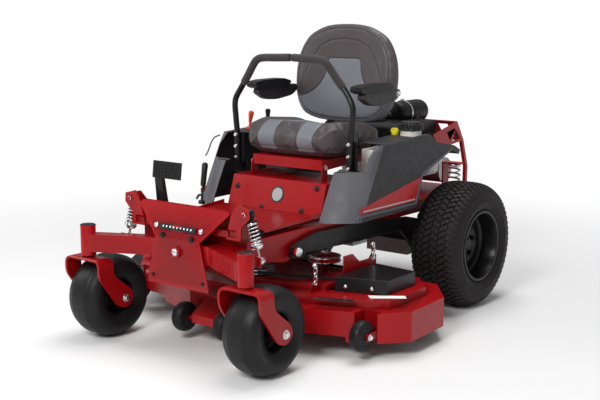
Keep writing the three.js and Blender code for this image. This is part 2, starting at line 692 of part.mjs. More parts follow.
mower.add(mesh("engine_block", engineBlock(), castAlloy));
mower.add(mesh("engine_shroud", engineShroud(), blackPlastic));
mower.add(mesh("air_filter", airFilter(), blackPlastic));
mower.add(mesh("engine_guard", engineGuard(), redPaint));

// ---- Rear swing arm, transaxles and drive wheels -----------------------------------------

function swingArm() {
  const outline = [[408, 356], [412, 398], [440, 412], [570, 436], [860, 430], [1240, 400],
    [1500, 340], [1500, 250], [1290, 250], [1180, 348], [860, 352], [620, 362], [500, 366],
    [470, 350]].reverse();
  const arms = [-1, 1].map((s) =>
    cut(slab("x", outline, s * ARM_INNER_X, s * ARM_OUTER_X),
      rod([s * 270, ARM_PIVOT.y, ARM_PIVOT.z], [s * 300, ARM_PIVOT.y, ARM_PIVOT.z], 11.8, 14),
      rod([s * 270, DRIVE_Y, DRIVE_RADIUS], [s * 300, DRIVE_Y, DRIVE_RADIUS], 19, 12)));
  const brackets = [-1, 1].map((s) =>
    join(
      slab("x", [[1440, 330], [1500, 330], [1629, 430], [1629, 446], [1579, 446]].reverse(),
        s * ARM_INNER_X, s * ARM_OUTER_X),
      block(s * ARM_INNER_X, s * 348, 1579, 1629, 438, 446),
    ));
  return join(
    ...arms,
    ...brackets,
    block(-ARM_INNER_X, ARM_INNER_X, 1246, 1276, 290, 350),
    block(-ARM_INNER_X, ARM_INNER_X, 1500 - 24, 1500, 270, 330),
  );
}

const HUB_X = 492; // outer face of the drive hubs

function transaxles() {
  const halves = [-1, 1].map((s) =>
    join(
      block(s * 40, s * 262, 1290, 1460, 212, 318),
      rod([s * 40, DRIVE_Y, DRIVE_RADIUS], [s * 272, DRIVE_Y, DRIVE_RADIUS], 62, 14),
      rod([s * 130, 1340, 300], [s * 130, 1340, 346], 40, 12),
      rod([s * 250, DRIVE_Y, DRIVE_RADIUS], [s * HUB_X, DRIVE_Y, DRIVE_RADIUS], 18, 12),
      rod([s * (HUB_X - 10), DRIVE_Y, DRIVE_RADIUS], [s * HUB_X, DRIVE_Y, DRIVE_RADIUS], 55, 16),
    ));
  const tie = block(-60, 60, 1380, 1420, 240, 280);
  return join(...halves, tie);
}

const DRIVE_BEAD = 100.7;
const DRIVE_SIDES = 24;

function driveTyre() {
  const half = [[RIM_RADIUS + GAP, DRIVE_BEAD], [158, DRIVE_BEAD], [204, DRIVE_HALF_WIDTH],
    [252, 106], [DRIVE_RADIUS, 68]];
  const mirror = half.map(([r, x]) => [r, -x]).reverse();
  return turned("x", [...half, ...mirror], DRIVE_SIDES);
}

// The dish sits behind the rim's outer edge.
function driveRim() {
  const dish = HUB_X - DRIVE_X + GAP;
  const inner = RIM_RADIUS - 6;
  return turned("x", [[0, dish], [120, dish], [inner, -20], [inner, -105], [156, -105],
    [RIM_RADIUS, -101], [RIM_RADIUS, 101], [156, 105], [inner, 105],
    [126, dish + 6], [0, dish + 6]], DRIVE_SIDES);
}

mower.add(mesh("swing_arm", swingArm(), blackPaint));
mower.add(mesh("transaxles", transaxles(), castAlloy));
for (const [side, s] of [["left", 1], ["right", -1]]) {
  const wheel = new THREE.Group();
  wheel.position.set(s * DRIVE_X, DRIVE_Y, DRIVE_RADIUS);
  wheel.scale.x = s;
  wheel.add(mesh("rear_tyre_" + side, driveTyre(), rubber));
  wheel.add(mesh("rear_rim_" + side, driveRim(), blackPaint));
  mower.add(wheel);
}

// A coil spring stands between the swing arm's shelf and the frame on each side.
pair(mower, "rear_spring",
  sleeve(20, 30, REAR_SPRING.foot + GAP, REAR_SPRING.top - GAP)
    .translate([REAR_SPRING.x, REAR_SPRING.y, 0]),
  zincSteel);

// ---- Cutting deck ------------------------------------------------------------------------

const DECK_PLAN = [[150, 303], [413, 401], [560, 451], [560, 520], [638, 520], [638, 492],
  [724, 596], [710, 858], [577, 1026], [330, 1040], [180, 900]];
const SHOULDER_PLAN = [[130, 385], [392, 468], [560, 528], [636, 580], [646, 640], [636, 840],
  [530, 960], [330, 970], [190, 860]];
const CROWN_PLAN = [[120, 480], [262, 520], [352, 552], [352, 830], [190, 850]];

function inset(points, depth) {
  const closed = bothSides(points);
  const count = closed.length;
  return closed.map(([x, y], i) => {
    const [ax, ay] = closed.at(i - 1);
    const [bx, by] = closed[(i + 1) % count];
    const along = new THREE.Vector2(bx - ax, by - ay).normalize();
    return [x - along.y * depth, y + along.x * depth];
  });
}

function deckShell() {
  const levels = [[DECK_PLAN, DECK_LIP_Z], [SHOULDER_PLAN, DECK_SHOULDER_Z],
    [CROWN_PLAN, DECK_TOP_Z]];
  const outside = levels.map(([plan, top]) => slab("z", bothSides(plan), DECK_BOTTOM_Z, top));
  const inside = levels.map(([plan, top]) =>
    slab("z", inset(plan, DECK_WALL), DECK_BOTTOM_Z - 10, top - DECK_WALL));
  const shell = cut(join(...outside), ...inside);
  const frontRise = block(-530, 530, 250, 444, 50, 80);
  const rightRise = block(-700, -380, 300, 520, 50, 98);
  const outlet = block(-770, -700, 620, 830, 50, 160);
  const housings = Object.values(SPINDLES).map(({ x, y }) =>
    turned("z", [[0, 130], [34, 130], [44, 200], [66, DECK_SHOULDER_Z - 6],
      [66, DECK_SHOULDER_Z + 4], [30, DECK_TOP_Z + 2], [0, DECK_TOP_Z + 2]], 12, [x, y, 0]));
  const bores = Object.values(SPINDLES).map(({ x, y }) => rod([x, y, 120], [x, y, 250], 14, 12));
  const idler = join(
    rod([IDLER.x, IDLER.y, DECK_TOP_Z - 3], [IDLER.x, IDLER.y, 300], 12, 10),
    turned("z", [[0, 276], [66, 276], [66, 300], [30, 312], [0, 312]], 18,
      [IDLER.x, IDLER.y, 0]),
  );
  const hangers = [-1, 1].map((s) => join(deckHanger(s), frontHanger(s)));
  const rollerMounts = join(cornerRollerMount(1), cornerRollerMount(-1), middleRollerMount());
  const chuteHinge = chuteLugs();
  return join(cut(join(cut(shell, frontRise, rightRise, outlet), ...housings), ...bores), idler,
    ...hangers, rollerMounts, chuteHinge);
}

const IDLER = { x: 205, y: 740 };

// Rear hanger: an upright plate on the drum with the chain that carries the deck.
function deckHanger(s) {
  const plate = slab("x", [[660, DECK_SHOULDER_Z - 3], [660, 330], [720, 330], [770, 290], [840, 290],
    [860, 310], [890, 300], [890, DECK_SHOULDER_Z - 3]].reverse(), s * 356, s * 362);
  const beltGap = block(s * 350, s * 370, 770, 820, BELT_Z - 8, BELT_Z + BELT_HEIGHT + 8);
  const chain = block(s * 362, s * 368, 852, 858, 296, 352);
  return join(cut(plate, beltGap), chain);
}

function frontHanger(s) {
  const tab = block(s * 322, s * 328, 486, 540, DECK_SHOULDER_Z - 3, 250);
  const chain = block(s * 328, s * 334, 500, 506, 238, 318);
  return join(tab, chain);
}

const ROLLER_RADIUS = 60;
const ROLLER_Z = 96;
const CORNER_ROLLER = { x: 599, y: 445 };
const MIDDLE_ROLLER = { x: 110, y: 229 };

function cornerRollerMount(s) {
  const { x, y } = CORNER_ROLLER;
  return join(
    block(s * (x - 36), s * (x - 30), y - 14, y + 80, ROLLER_Z - 14, ROLLER_Z + 14),
    block(s * (x + 30), s * (x + 36), y - 14, y + 80, ROLLER_Z - 14, ROLLER_Z + 14),
    rod([s * (x - 38), y, ROLLER_Z], [s * (x + 38), y, ROLLER_Z], 8, 8),
  );
}

function middleRollerMount() {
  const { y } = MIDDLE_ROLLER;
  return join(
    slab("x", [[y - 14, ROLLER_Z - 14], [y - 14, ROLLER_Z + 20], [308, 170], [308, 130],
      [y + 20, ROLLER_Z - 14]].reverse(), -60, 60),
    rod([-144, y, ROLLER_Z], [144, y, ROLLER_Z], 8, 8),
  );
}

// The outer form of a roller with a bore for its pin.
function rollerForm(half) {
  const bore = 9.2;
  return turned("x", [[bore, -half], [ROLLER_RADIUS - 12, -half], [ROLLER_RADIUS, -half + 12],
    [ROLLER_RADIUS, half - 12], [ROLLER_RADIUS - 12, half], [bore, half]], 16);
}

const CHUTE = { x: -727, front: 612, rear: 836, hinge: 186 };

function chuteLugs() {
  return join(
    block(CHUTE.x - 12, -690, CHUTE.front - 6, CHUTE.front + 4, 172, 194),
    block(CHUTE.x - 12, -690, CHUTE.rear - 4, CHUTE.rear + 6, 172, 194),
    rod([CHUTE.x - 6, CHUTE.front, CHUTE.hinge], [CHUTE.x - 6, CHUTE.rear, CHUTE.hinge], 4, 8),
  );
}

function dischargeChute() {
  const { front, rear, hinge } = CHUTE;
  const axis = CHUTE.x - 6;
  const section = [[axis - 8, hinge - 7], [axis - 8, hinge + 7], [axis - 60, hinge + 4],
    [axis - 160, 112], [axis - 166, 92], [axis - 161, 90], [axis - 154, 108],
    [axis - 62, hinge - 4], [axis - 14, hinge - 7]];
  const hood = slab("y", section, front + 6, rear - 6);
  const barrel = turned("y", [[4.8, front + 6], [8.5, front + 6], [8.5, rear - 6],
    [4.8, rear - 6]], 12, [axis, 0, hinge]);
  const cheeks = [[front + 6, front + 11], [rear - 11, rear - 6]].map(([a, b]) =>
    slab("y", [[axis - 12, hinge - 6], [axis - 62, hinge], [axis - 160, 104], [axis - 160, 92],
      [axis - 30, 104]], a, b));
  return join(hood, barrel, ...cheeks);
}

function bladeSpindle({ x, y }) {
  const bladeZ = DECK_BOTTOM_Z + 12;
  const blade = slab("z", [[-BLADE_RADIUS, -30], [BLADE_RADIUS, -30], [BLADE_RADIUS, 30],
    [-BLADE_RADIUS, 30]], bladeZ, bladeZ + 5);
  const belt = BELT_Z;
  const pulley = turned("z", [[0, belt - 4.5], [70, belt - 4.5], [70, belt - 0.5],
    [PULLEY_CORE, belt - 0.5], [PULLEY_CORE, belt + BELT_HEIGHT + 0.5],
    [70, belt + BELT_HEIGHT + 0.5], [70, belt + BELT_HEIGHT + 4], [0, belt + BELT_HEIGHT + 4]], 20);
  return join(
    blade,
    rod([0, 0, bladeZ - 8], [0, 0, bladeZ + 24], 22, 12),
    rod([0, 0, bladeZ], [0, 0, belt], 12.5, 12),
    pulley,
    rod([0, 0, belt], [0, 0, belt + BELT_HEIGHT + 11], 16, 6),
  ).translate([x, y, 0]);
}

// The belt runs round the outer side of all three spindle pulleys.
function deckBelt() {
  const loop = (radius) => {
    const arcs = [["right", 90, 255], ["centre", 258, 282], ["left", 285, 450]];
    return arcs.flatMap(([name, from, to]) => {
      const { x, y } = SPINDLES[name];
      const steps = Math.ceil((to - from) / 15);
      return Array.from({ length: steps + 1 }, (_, i) => {
        const angle = THREE.MathUtils.degToRad(from + ((to - from) * i) / steps);
        return [x + radius * Math.cos(angle), y + radius * Math.sin(angle)];
      });
    });
  };
  return cut(slab("z", loop(PULLEY_CORE + 11), BELT_Z, BELT_Z + BELT_HEIGHT),
    slab("z", loop(PULLEY_CORE + 1.2), BELT_Z - 5, BELT_Z + BELT_HEIGHT + 5));
}

const COVER_TOP_Z = 270;

function beltCover() {
  const plan = [[386, 562], [590, 628], [586, 838], [374, 860]];
  const shell = slab("z", plan, DECK_SHOULDER_Z + GAP, COVER_TOP_Z);
  const hollow = slab("z", [[390, 568], [586, 631], [582, 834], [378, 855]],
    DECK_SHOULDER_Z - 10, COVER_TOP_Z - SHEET);
  const beltGap = block(340, 400, 600, 830, DECK_SHOULDER_Z - 5, BELT_Z + BELT_HEIGHT + 6);
  return cut(shell, hollow, beltGap);
}

mower.add(mesh("deck_shell", deckShell(), redPaint));
pair(mower, "belt_cover", beltCover(), blackPaint);
for (const [side, place] of Object.entries(SPINDLES)) {
  mower.add(mesh("blade_spindle_" + side, bladeSpindle(place), zincSteel));
}
mower.add(mesh("deck_belt", deckBelt(), rubber));
pair(mower, "deck_roller",
  rollerForm(26).translate([CORNER_ROLLER.x, CORNER_ROLLER.y, ROLLER_Z]), rubber);
pair(mower, "deck_roller_middle",
  rollerForm(26).translate([MIDDLE_ROLLER.x, MIDDLE_ROLLER.y, ROLLER_Z]), rubber);
mower.add(mesh("discharge_chute", dischargeChute(), blackPlastic));

// ---- Deck lift and hand levers -----------------------------------------------------------

const PEDAL_PIVOT = { y: 216, z: 440 };

function deckPedal() {
  const arm = slab("x", [[208, 432], [182, 560], [168, 700], [172, 722], [176, 722],
    [206, 562], [226, 440]], PEDAL_X - 8, PEDAL_X + 32);
  const plate = slab("x", [[160, 658], [168, 724], [176, 723], [168, 657]].reverse(),
    PEDAL_X - 8, PEDAL_X + 140);
  const hub = rod([PEDAL_X - 14, PEDAL_PIVOT.y, PEDAL_PIVOT.z],
    [PEDAL_X + 14, PEDAL_PIVOT.y, PEDAL_PIVOT.z], 16, 12);
  return join(arm, plate, hub);
}

function liftCrank(y, z, reach) {
  const arms = [-1, 1].map((s) =>
    slab("x", [[y - 14, z - 12], [y + reach, z - 22], [y + reach, z - 6], [y, z + 16],
      [y - 14, z + 10]], s * 205, s * 213));
  return join(rod([-214, y, z], [214, y, z], 12, 12), ...arms);
}

mower.add(mesh("deck_pedal", deckPedal(), blackPaint));
mower.add(mesh("lift_shaft", liftCrank(860, 372, 90), blackPaint));

function leverSolid(foot, tip, gripRadius) {
  const [fx, fy, fz] = foot;
  const [tx, ty, tz] = tip;
  const grip = new THREE.Vector3(tx - fx, ty - fy, tz - fz).multiplyScalar(0.55);
  return join(
    rod(foot, tip, 5, 8),
    rod([fx + grip.x, fy + grip.y, fz + grip.z], tip, gripRadius, 10),
    rod([fx - 12, fy, fz], [fx + 12, fy, fz], 9, 10),
  );
}
mower.add(mesh("throttle_lever", leverSolid([-345, 905, 780], [-338, 911, 852], 11),
  orangePlastic));
mower.add(mesh("parking_brake_lever", leverSolid([-304, 985, 784], [-300, 982, 862], 12),
  blackPlastic));
mower.add(mesh("transport_lock_lever", leverSolid([-286, 522, 500], [-300, 562, 660], 13),
  blackPlastic));

// The origin is the middle of the footprint, on the ground.
const box = new THREE.Box3().setFromObject(mower);
const middle = box.getCenter(new THREE.Vector3());
mower.position.set(-middle.x, -middle.y, -box.min.z);

export default mower;
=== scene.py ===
"""The looks of a zero turn mower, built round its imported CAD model.

Places are given in millimetres from the datum of the mower: on the ground, midway between the
caster swivels, with +Z up, -Y the front and +X the operator's left.
"""

import json
import math

import bmesh
import bpy
import numpy as np
from mathutils import Matrix, Vector
from mathutils.bvhtree import BVHTree

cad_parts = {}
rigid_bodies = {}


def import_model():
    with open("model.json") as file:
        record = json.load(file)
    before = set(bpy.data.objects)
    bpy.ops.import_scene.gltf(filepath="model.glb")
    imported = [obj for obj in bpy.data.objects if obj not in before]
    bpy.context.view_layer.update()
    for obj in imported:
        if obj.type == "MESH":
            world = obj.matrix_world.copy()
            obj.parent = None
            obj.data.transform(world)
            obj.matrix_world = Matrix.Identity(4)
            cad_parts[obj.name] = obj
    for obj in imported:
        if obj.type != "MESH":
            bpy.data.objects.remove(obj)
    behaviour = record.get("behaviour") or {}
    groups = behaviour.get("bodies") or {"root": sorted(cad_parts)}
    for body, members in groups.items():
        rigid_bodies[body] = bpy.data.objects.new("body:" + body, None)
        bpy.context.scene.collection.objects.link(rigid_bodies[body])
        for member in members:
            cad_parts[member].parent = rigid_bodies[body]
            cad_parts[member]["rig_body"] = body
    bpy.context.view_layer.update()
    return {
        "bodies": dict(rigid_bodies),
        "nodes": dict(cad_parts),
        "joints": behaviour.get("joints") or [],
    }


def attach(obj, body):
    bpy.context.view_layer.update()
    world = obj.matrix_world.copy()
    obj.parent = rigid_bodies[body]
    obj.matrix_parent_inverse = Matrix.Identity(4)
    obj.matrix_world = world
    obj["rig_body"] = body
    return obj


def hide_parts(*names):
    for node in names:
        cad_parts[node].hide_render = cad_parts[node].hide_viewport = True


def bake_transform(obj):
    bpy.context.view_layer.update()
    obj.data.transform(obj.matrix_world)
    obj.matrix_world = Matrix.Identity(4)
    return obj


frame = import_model()

MM = 0.001
swivels = [Vector(j["pos_m"]) for j in frame["joints"] if j["name"].startswith("caster_swivel")]
DATUM = (swivels[0] + swivels[1]) / 2
DATUM.z = 0.0
SIDES = (("left", 1), ("right", -1))
TO_SCENE = Matrix.Translation(DATUM) @ Matrix.Scale(MM, 4)


def at(x, y, z):
    return TO_SCENE @ Vector((x, y, z))


# ---- Materials ---------------------------------------------------------------------------

def srgb(r, g, b):
    """A colour given as 0 to 255 values, as the linear numbers that shaders take."""
    def linear(c):
        c /= 255
        return c / 12.92 if c <= 0.04045 else ((c + 0.055) / 1.055) ** 2.4
    return (linear(r), linear(g), linear(b), 1.0)


def shade(colour, factor):
    return tuple(min(1.0, c * factor) for c in colour[:3]) + (1.0,)


class Surface:
    """A procedural material: mottled colour, painted shade and highlight, uneven gloss and a fine
    bump.
    """

    def __init__(self, name, colour, rough, metal=0.0, coat=0.0, grain=600, depth=0.05,
                 mottle=0.12, patch=9, uneven=0.08, sheen=0.0, specular=0.5):
        self.material = bpy.data.materials.new(name)
        self.material.use_nodes = True
        self.tree = self.material.node_tree
        self.shader = self.tree.nodes["Principled BSDF"]
        self.place = self.tree.nodes.new("ShaderNodeTexCoord").outputs["Object"]
        self.shader.inputs["Metallic"].default_value = metal
        self.shader.inputs["Coat Weight"].default_value = coat
        self.shader.inputs["Coat Roughness"].default_value = 0.12
        self.shader.inputs["Sheen Weight"].default_value = sheen
        self.shader.inputs["Specular IOR Level"].default_value = specular
        cloud = self.noise(patch, 4)
        self.colour = self.mix(cloud, shade(colour, 1 - mottle), shade(colour, 1 + mottle))
        # painted shade in hollows and painted highlight on edges, both taken from pointiness
        self.paint_hollow_shade_edge_light()
        self.link(self.colour, self.shader.inputs["Base Color"])
        self.link(self.span(self.noise(patch * 3.7, 3), rough - uneven, rough + uneven),
                  self.shader.inputs["Roughness"])
        self.height = self.noise(grain, 3)
        self.bump = self.node("ShaderNodeBump")
        self.bump.inputs["Strength"].default_value = 0.6
        self.bump.inputs["Distance"].default_value = depth * MM
        self.link(self.height, self.bump.inputs["Height"])
        self.link(self.bump.outputs[0], self.shader.inputs["Normal"])

    def node(self, kind):
        return self.tree.nodes.new(kind)

    def link(self, a, b):
        self.tree.links.new(a, b)

    def noise(self, scale, detail):
        node = self.node("ShaderNodeTexNoise")
        node.inputs["Scale"].default_value = scale
        node.inputs["Detail"].default_value = detail
        self.link(self.place, node.inputs["Vector"])
        return node.outputs[0]

    def span(self, value, low, high):
        node = self.node("ShaderNodeMapRange")
        node.inputs["From Min"].default_value = 0.3
        node.inputs["From Max"].default_value = 0.7
        node.inputs["To Min"].default_value = max(0.02, low)
        node.inputs["To Max"].default_value = high
        self.link(value, node.inputs["Value"])
        return node.outputs[0]

    def mix(self, factor, a, b):
        node = self.node("ShaderNodeMix")
        node.data_type = "RGBA"
        self.link(factor, node.inputs[0])
        for value, socket in ((a, node.inputs[6]), (b, node.inputs[7])):
            if isinstance(value, tuple):
                socket.default_value = value
            else:
                self.link(value, socket)
        return node.outputs[2]

    def paint_hollow_shade_edge_light(self):
        """Painted shade and painted highlight: hollows a little darker and edges a little lighter.
        """
        bend = self.node("ShaderNodeNewGeometry").outputs["Pointiness"]
        node = self.node("ShaderNodeMapRange")
        node.inputs["From Min"].default_value = 0.42
        node.inputs["From Max"].default_value = 0.58
        node.inputs["To Min"].default_value = 0.55
        node.inputs["To Max"].default_value = 1.35
        self.link(bend, node.inputs["Value"])
        scale = self.node("ShaderNodeVectorMath")
        scale.operation = "SCALE"
        self.link(self.colour, scale.inputs[0])
        self.link(node.outputs[0], scale.inputs["Scale"])
        self.colour = scale.outputs[0]

    def zone(self, attribute, colour, mottle=0.1):
        """Another colour wherever a signed distance stored on the points is below zero."""
        reader = self.node("ShaderNodeAttribute")
        reader.attribute_name = attribute
        edge = self.node("ShaderNodeMapRange")
        edge.inputs["From Min"].default_value = 0.0006
        edge.inputs["From Max"].default_value = -0.0006
        self.link(reader.outputs["Fac"], edge.inputs["Value"])
        other = self.mix(self.noise(14, 4), shade(colour, 1 - mottle), shade(colour, 1 + mottle))
        self.colour = self.mix(edge.outputs[0], self.colour, other)
        self.link(self.colour, self.shader.inputs["Base Color"])
        return self


RED = Surface("red_powder_coat", (0.27, 0.002, 0.004, 1), 0.34, coat=0.12, grain=420,
              depth=0.03, mottle=0.04, specular=0.22).material
BLACK_COAT = Surface("black_powder_coat", srgb(17, 17, 18), 0.38, coat=0.1, grain=700,
                     depth=0.06, specular=0.25).material
TYRE = Surface("tyre_rubber", srgb(31, 27, 28), 0.62, grain=900, depth=0.12, mottle=0.2,
               specular=0.2).material
CASTER_RUBBER = Surface("caster_rubber", srgb(25, 24, 26), 0.46, grain=900, depth=0.06,
                        mottle=0.14, specular=0.22).material
FOAM = Surface("foam_grip", srgb(46, 41, 42), 0.85, grain=1500, depth=0.35, mottle=0.2,
               sheen=0.1).material
CHARCOAL = Surface("charcoal_moulding", srgb(40, 38, 41), 0.5, grain=1300, depth=0.14,
                   specular=0.3).material
# grey of the fender trim, also used as painted light on the fenders' front-facing faces
GREY_TRIM_AND_LIT_FRONT = Surface("grey_trim_and_lit_front", srgb(78, 77, 82), 0.5, grain=1300, depth=0.14,
                    specular=0.3).material
BLACK_PLASTIC = Surface("black_moulding", srgb(20, 19, 22), 0.4, grain=1100, depth=0.1,
                        specular=0.3).material
ZINC = Surface("zinc_plate", (0.62, 0.62, 0.63, 1), 0.28, metal=1.0, grain=800, depth=0.03,
               mottle=0.1).material
CAST = Surface("cast_alloy", (0.34, 0.34, 0.35, 1), 0.5, metal=0.9, grain=420, depth=0.3,
               mottle=0.16).material
ORANGE = Surface("orange_knob", srgb(216, 66, 28), 0.35, grain=900, depth=0.05).material
YELLOW = Surface("yellow_knob", srgb(214, 200, 30), 0.38, grain=900, depth=0.05).material
TANK = Surface("tank_moulding", srgb(214, 212, 205), 0.5, grain=700, depth=0.08).material
WHITE = Surface("white_label", srgb(226, 226, 224), 0.4, grain=500, depth=0.01,
                mottle=0.04).material
DARK_LABEL = Surface("dark_label", srgb(26, 25, 28), 0.3, grain=500, depth=0.01).material
GREY_LABEL = Surface("grey_label", srgb(150, 150, 152), 0.4, grain=500, depth=0.01).material


# ---- Shapes ------------------------------------------------------------------------------

class Form:
    """Closed surfaces in datum millimetres that together make one piece."""

    def __init__(self):
        self.points = []
        self.faces = []
        self.finish = []

    def add(self, shape, finish=0):
        points, faces = shape
        base = len(self.points)
        self.points += [Vector(p) for p in points]
        self.faces += [[i + base for i in face] for face in faces]
        self.finish += [finish] * len(faces)
        return self

    def mirrored(self):
        other = Form()
        other.points = [Vector((-p.x, p.y, p.z)) for p in self.points]
        other.faces = [face[::-1] for face in self.faces]
        other.finish = list(self.finish)
        return other


def form(*shapes):
    whole = Form()
    for shape in shapes:
        whole.add(shape)
    return whole


def axes(direction):
    w = Vector(direction).normalized()
    u = Vector((0, 0, 1)) if abs(w.z) < 0.9 else Vector((1, 0, 0))
    u = (u - w * u.dot(w)).normalized()
    return u, w.cross(u), w


def lathe(profile, centre=(0, 0, 0), direction=(0, 0, 1), segments=48, turn=0.0):
    """A profile of (radius, place along the axis): ends on the axis, or closed on itself."""
    u, v, w = axes(direction)
    centre = Vector(centre)
    points, rings = [], []
    for radius, along in profile:
        count = 1 if radius == 0 else segments
        rings.append(list(range(len(points), len(points) + count)))
        for k in range(count):
            angle = 2 * math.pi * k / segments + turn
            ray = u * math.cos(angle) + v * math.sin(angle)
            points.append(centre + w * along + ray * radius)
    if profile[0][0] > 0:
        rings.append(rings[0])
    faces = []
    for a, b in zip(rings, rings[1:]):
        if len(a) == 1 and len(b) == 1:
            continue
        for k in range(segments):
            n = (k + 1) % segments
            quad = [a[k % len(a)], a[n % len(a)], b[n % len(b)], b[k % len(b)]]
            faces.append(list(dict.fromkeys(quad)))
    return points, faces


def rod(start, end, radius, segments=24, chamfer=1.0):
    start, end = Vector(start), Vector(end)
    length = (end - start).length
    c = min(chamfer, radius * 0.4, length * 0.4)
    profile = [(0, 0), (radius - c, 0), (radius, c), (radius, length - c),
               (radius - c, length), (0, length)]
    return lathe(profile, start, end - start, segments)


def smooth_path(points, steps):
    """Points along a centripetal Catmull-Rom curve."""
    p = [Vector(q) for q in points]
    p = [p[0] * 2 - p[1]] + p + [p[-1] * 2 - p[-2]]
    out = []
    for i in range(1, len(p) - 2):
        knots = [0.0]
        for a, b in zip(p[i - 1:i + 2], p[i:i + 3]):
            knots.append(knots[-1] + max(1e-6, (b - a).length) ** 0.5)
        k0, k1, k2, k3 = knots
        for s in range(steps):
            t = k1 + (k2 - k1) * s / steps
            a1 = p[i - 1].lerp(p[i], (t - k0) / (k1 - k0))
            a2 = p[i].lerp(p[i + 1], (t - k1) / (k2 - k1))
            a3 = p[i + 1].lerp(p[i + 2], (t - k2) / (k3 - k2))
            b1 = a1.lerp(a2, (t - k0) / (k2 - k0))
            b2 = a2.lerp(a3, (t - k1) / (k3 - k1))
            out.append(b1.lerp(b2, (t - k1) / (k2 - k1)))
    return out + [p[-2]]


def sweep(path, radius, sides=16, closed=False):
    """A round bar along a path; radius is a number or a function of the share of the way."""
    path = [Vector(q) for q in path]
    count = len(path)
    size = radius if callable(radius) else (lambda share: radius)
    ahead = []
    for i in range(count):
        before = path[i - 1] if i or closed else path[0]
        after = path[(i + 1) % count] if i < count - 1 or closed else path[-1]
        ahead.append((after - before).normalized())
    u = axes(ahead[0])[0]
    points = []
    for i, here in enumerate(path):
        u = (u - ahead[i] * u.dot(ahead[i])).normalized()
        v = ahead[i].cross(u)
        for k in range(sides):
            angle = 2 * math.pi * k / sides
            points.append(here + (u * math.cos(angle) + v * math.sin(angle)) * size(i / count))
    faces = []
    for i in range(count if closed else count - 1):
        for k in range(sides):
            n = (k + 1) % sides
            j = (i + 1) % count
            faces.append([i * sides + k, i * sides + n, j * sides + n, j * sides + k])
    if not closed:
        faces.append(list(range(sides))[::-1])
        faces.append([(count - 1) * sides + k for k in range(sides)])
    return points, faces


def prism(axis, outline, low, high):
    """An outline of (y, z) for x, (x, z) for y or (x, y) for z, pushed from low to high."""
    def place(a, b, depth):
        return {"x": (depth, a, b), "y": (a, depth, b), "z": (a, b, depth)}[axis]
    n = len(outline)
    points = [place(a, b, low) for a, b in outline] + [place(a, b, high) for a, b in outline]
    faces = [list(range(n))[::-1], list(range(n, 2 * n))]
    faces += [[i, (i + 1) % n, n + (i + 1) % n, n + i] for i in range(n)]
    return points, faces


def block(x0, x1, y0, y1, z0, z1):
    return prism("z", [(x0, y0), (x1, y0), (x1, y1), (x0, y1)], z0, z1)


def rounded(points, radius, steps=6):
    out = []
    for i, p in enumerate(points):
        here = Vector(p)
        before = Vector(points[i - 1]) - here
        after = Vector(points[(i + 1) % len(points)]) - here
        reach = min(radius, before.length * 0.45, after.length * 0.45)
        a, b = here + before.normalized() * reach, here + after.normalized() * reach
        for s in range(steps + 1):
            t = s / steps
            q = a * (1 - t) ** 2 + here * 2 * t * (1 - t) + b * t ** 2
            out.append((q.x, q.y))
    return out


def hex_head(place, direction, size, height, washer=True):
    """A hexagon head standing on its washer."""
    whole = []
    start = Vector(place)
    w = Vector(direction).normalized()
    if washer:
        whole.append(lathe([(0, 0), (size * 1.25, 0), (size * 1.25, 1.4), (size * 1.1, 1.9),
                            (0, 1.9)], start, w, 28))
    whole.append(lathe([(0, 0), (size, 0), (size, height * 0.82), (size * 0.84, height),
                        (0, height)], start + w * 1.5, w, 6))
    return whole


def pieces_of(shapes, finish=0, into=None):
    into = into or Form()
    for shape in shapes:
        into.add(shape, finish)
    return into


def piece(name, shape, material, body, slot, replaces=(), bevel=0.0, steps=2, smooth=38,
          scale=TO_SCENE):
    """Makes the object of a form and lets it ride on a CAD body."""
    mesh = bpy.data.meshes.new(name)
    mesh.from_pydata([scale @ p for p in shape.points], [], shape.faces)
    for finish in material if isinstance(material, (list, tuple)) else [material]:
        mesh.materials.append(finish)
    mesh.polygons.foreach_set("material_index", shape.finish)
    obj = bpy.data.objects.new(name, mesh)
    bpy.context.scene.collection.objects.link(obj)
    tidy_mesh(mesh, smooth)
    if bevel:
        add_bevel(obj, bevel, steps)
    if body:
        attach(obj, body)
    if replaces:
        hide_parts(*replaces)
    return obj


def tidy_mesh(mesh, smooth, dissolve=False):
    edit = bmesh.new()
    edit.from_mesh(mesh)
    bmesh.ops.remove_doubles(edit, verts=edit.verts, dist=1e-5)
    if dissolve:
        bmesh.ops.dissolve_limit(edit, angle_limit=math.radians(0.6), verts=edit.verts,
                                 edges=edit.edges)
    bmesh.ops.recalc_face_normals(edit, faces=edit.faces)
    edit.to_mesh(mesh)
    edit.free()
    mesh.polygons.foreach_set("use_smooth", [True] * len(mesh.polygons))
    mesh.set_sharp_from_angle(angle=math.radians(smooth))


def add_bevel(obj, width, steps=2):
    bevel = obj.modifiers.new("edges", "BEVEL")
    bevel.width = width * MM
    bevel.segments = steps
    bevel.limit_method = "ANGLE"
    bevel.angle_limit = math.radians(36)
    bevel.harden_normals = True
    bevel.miter_outer = "MITER_ARC"


def both(name, shape, material, body, slot, replaces=(), **more):
    """A piece on the left and its mirror image on the right; names get the side added."""
    made = []
    for side, s in SIDES:
        here = shape if s > 0 else shape.mirrored()
        ride = body if body in ALONE else f"{body}_{side}"
        hidden = [f"{node}_{side}" for node in replaces]
        made.append(piece(f"{name}_{side}", here, material, ride, slot, hidden, **more))
    return made


ALONE = set(frame["bodies"])


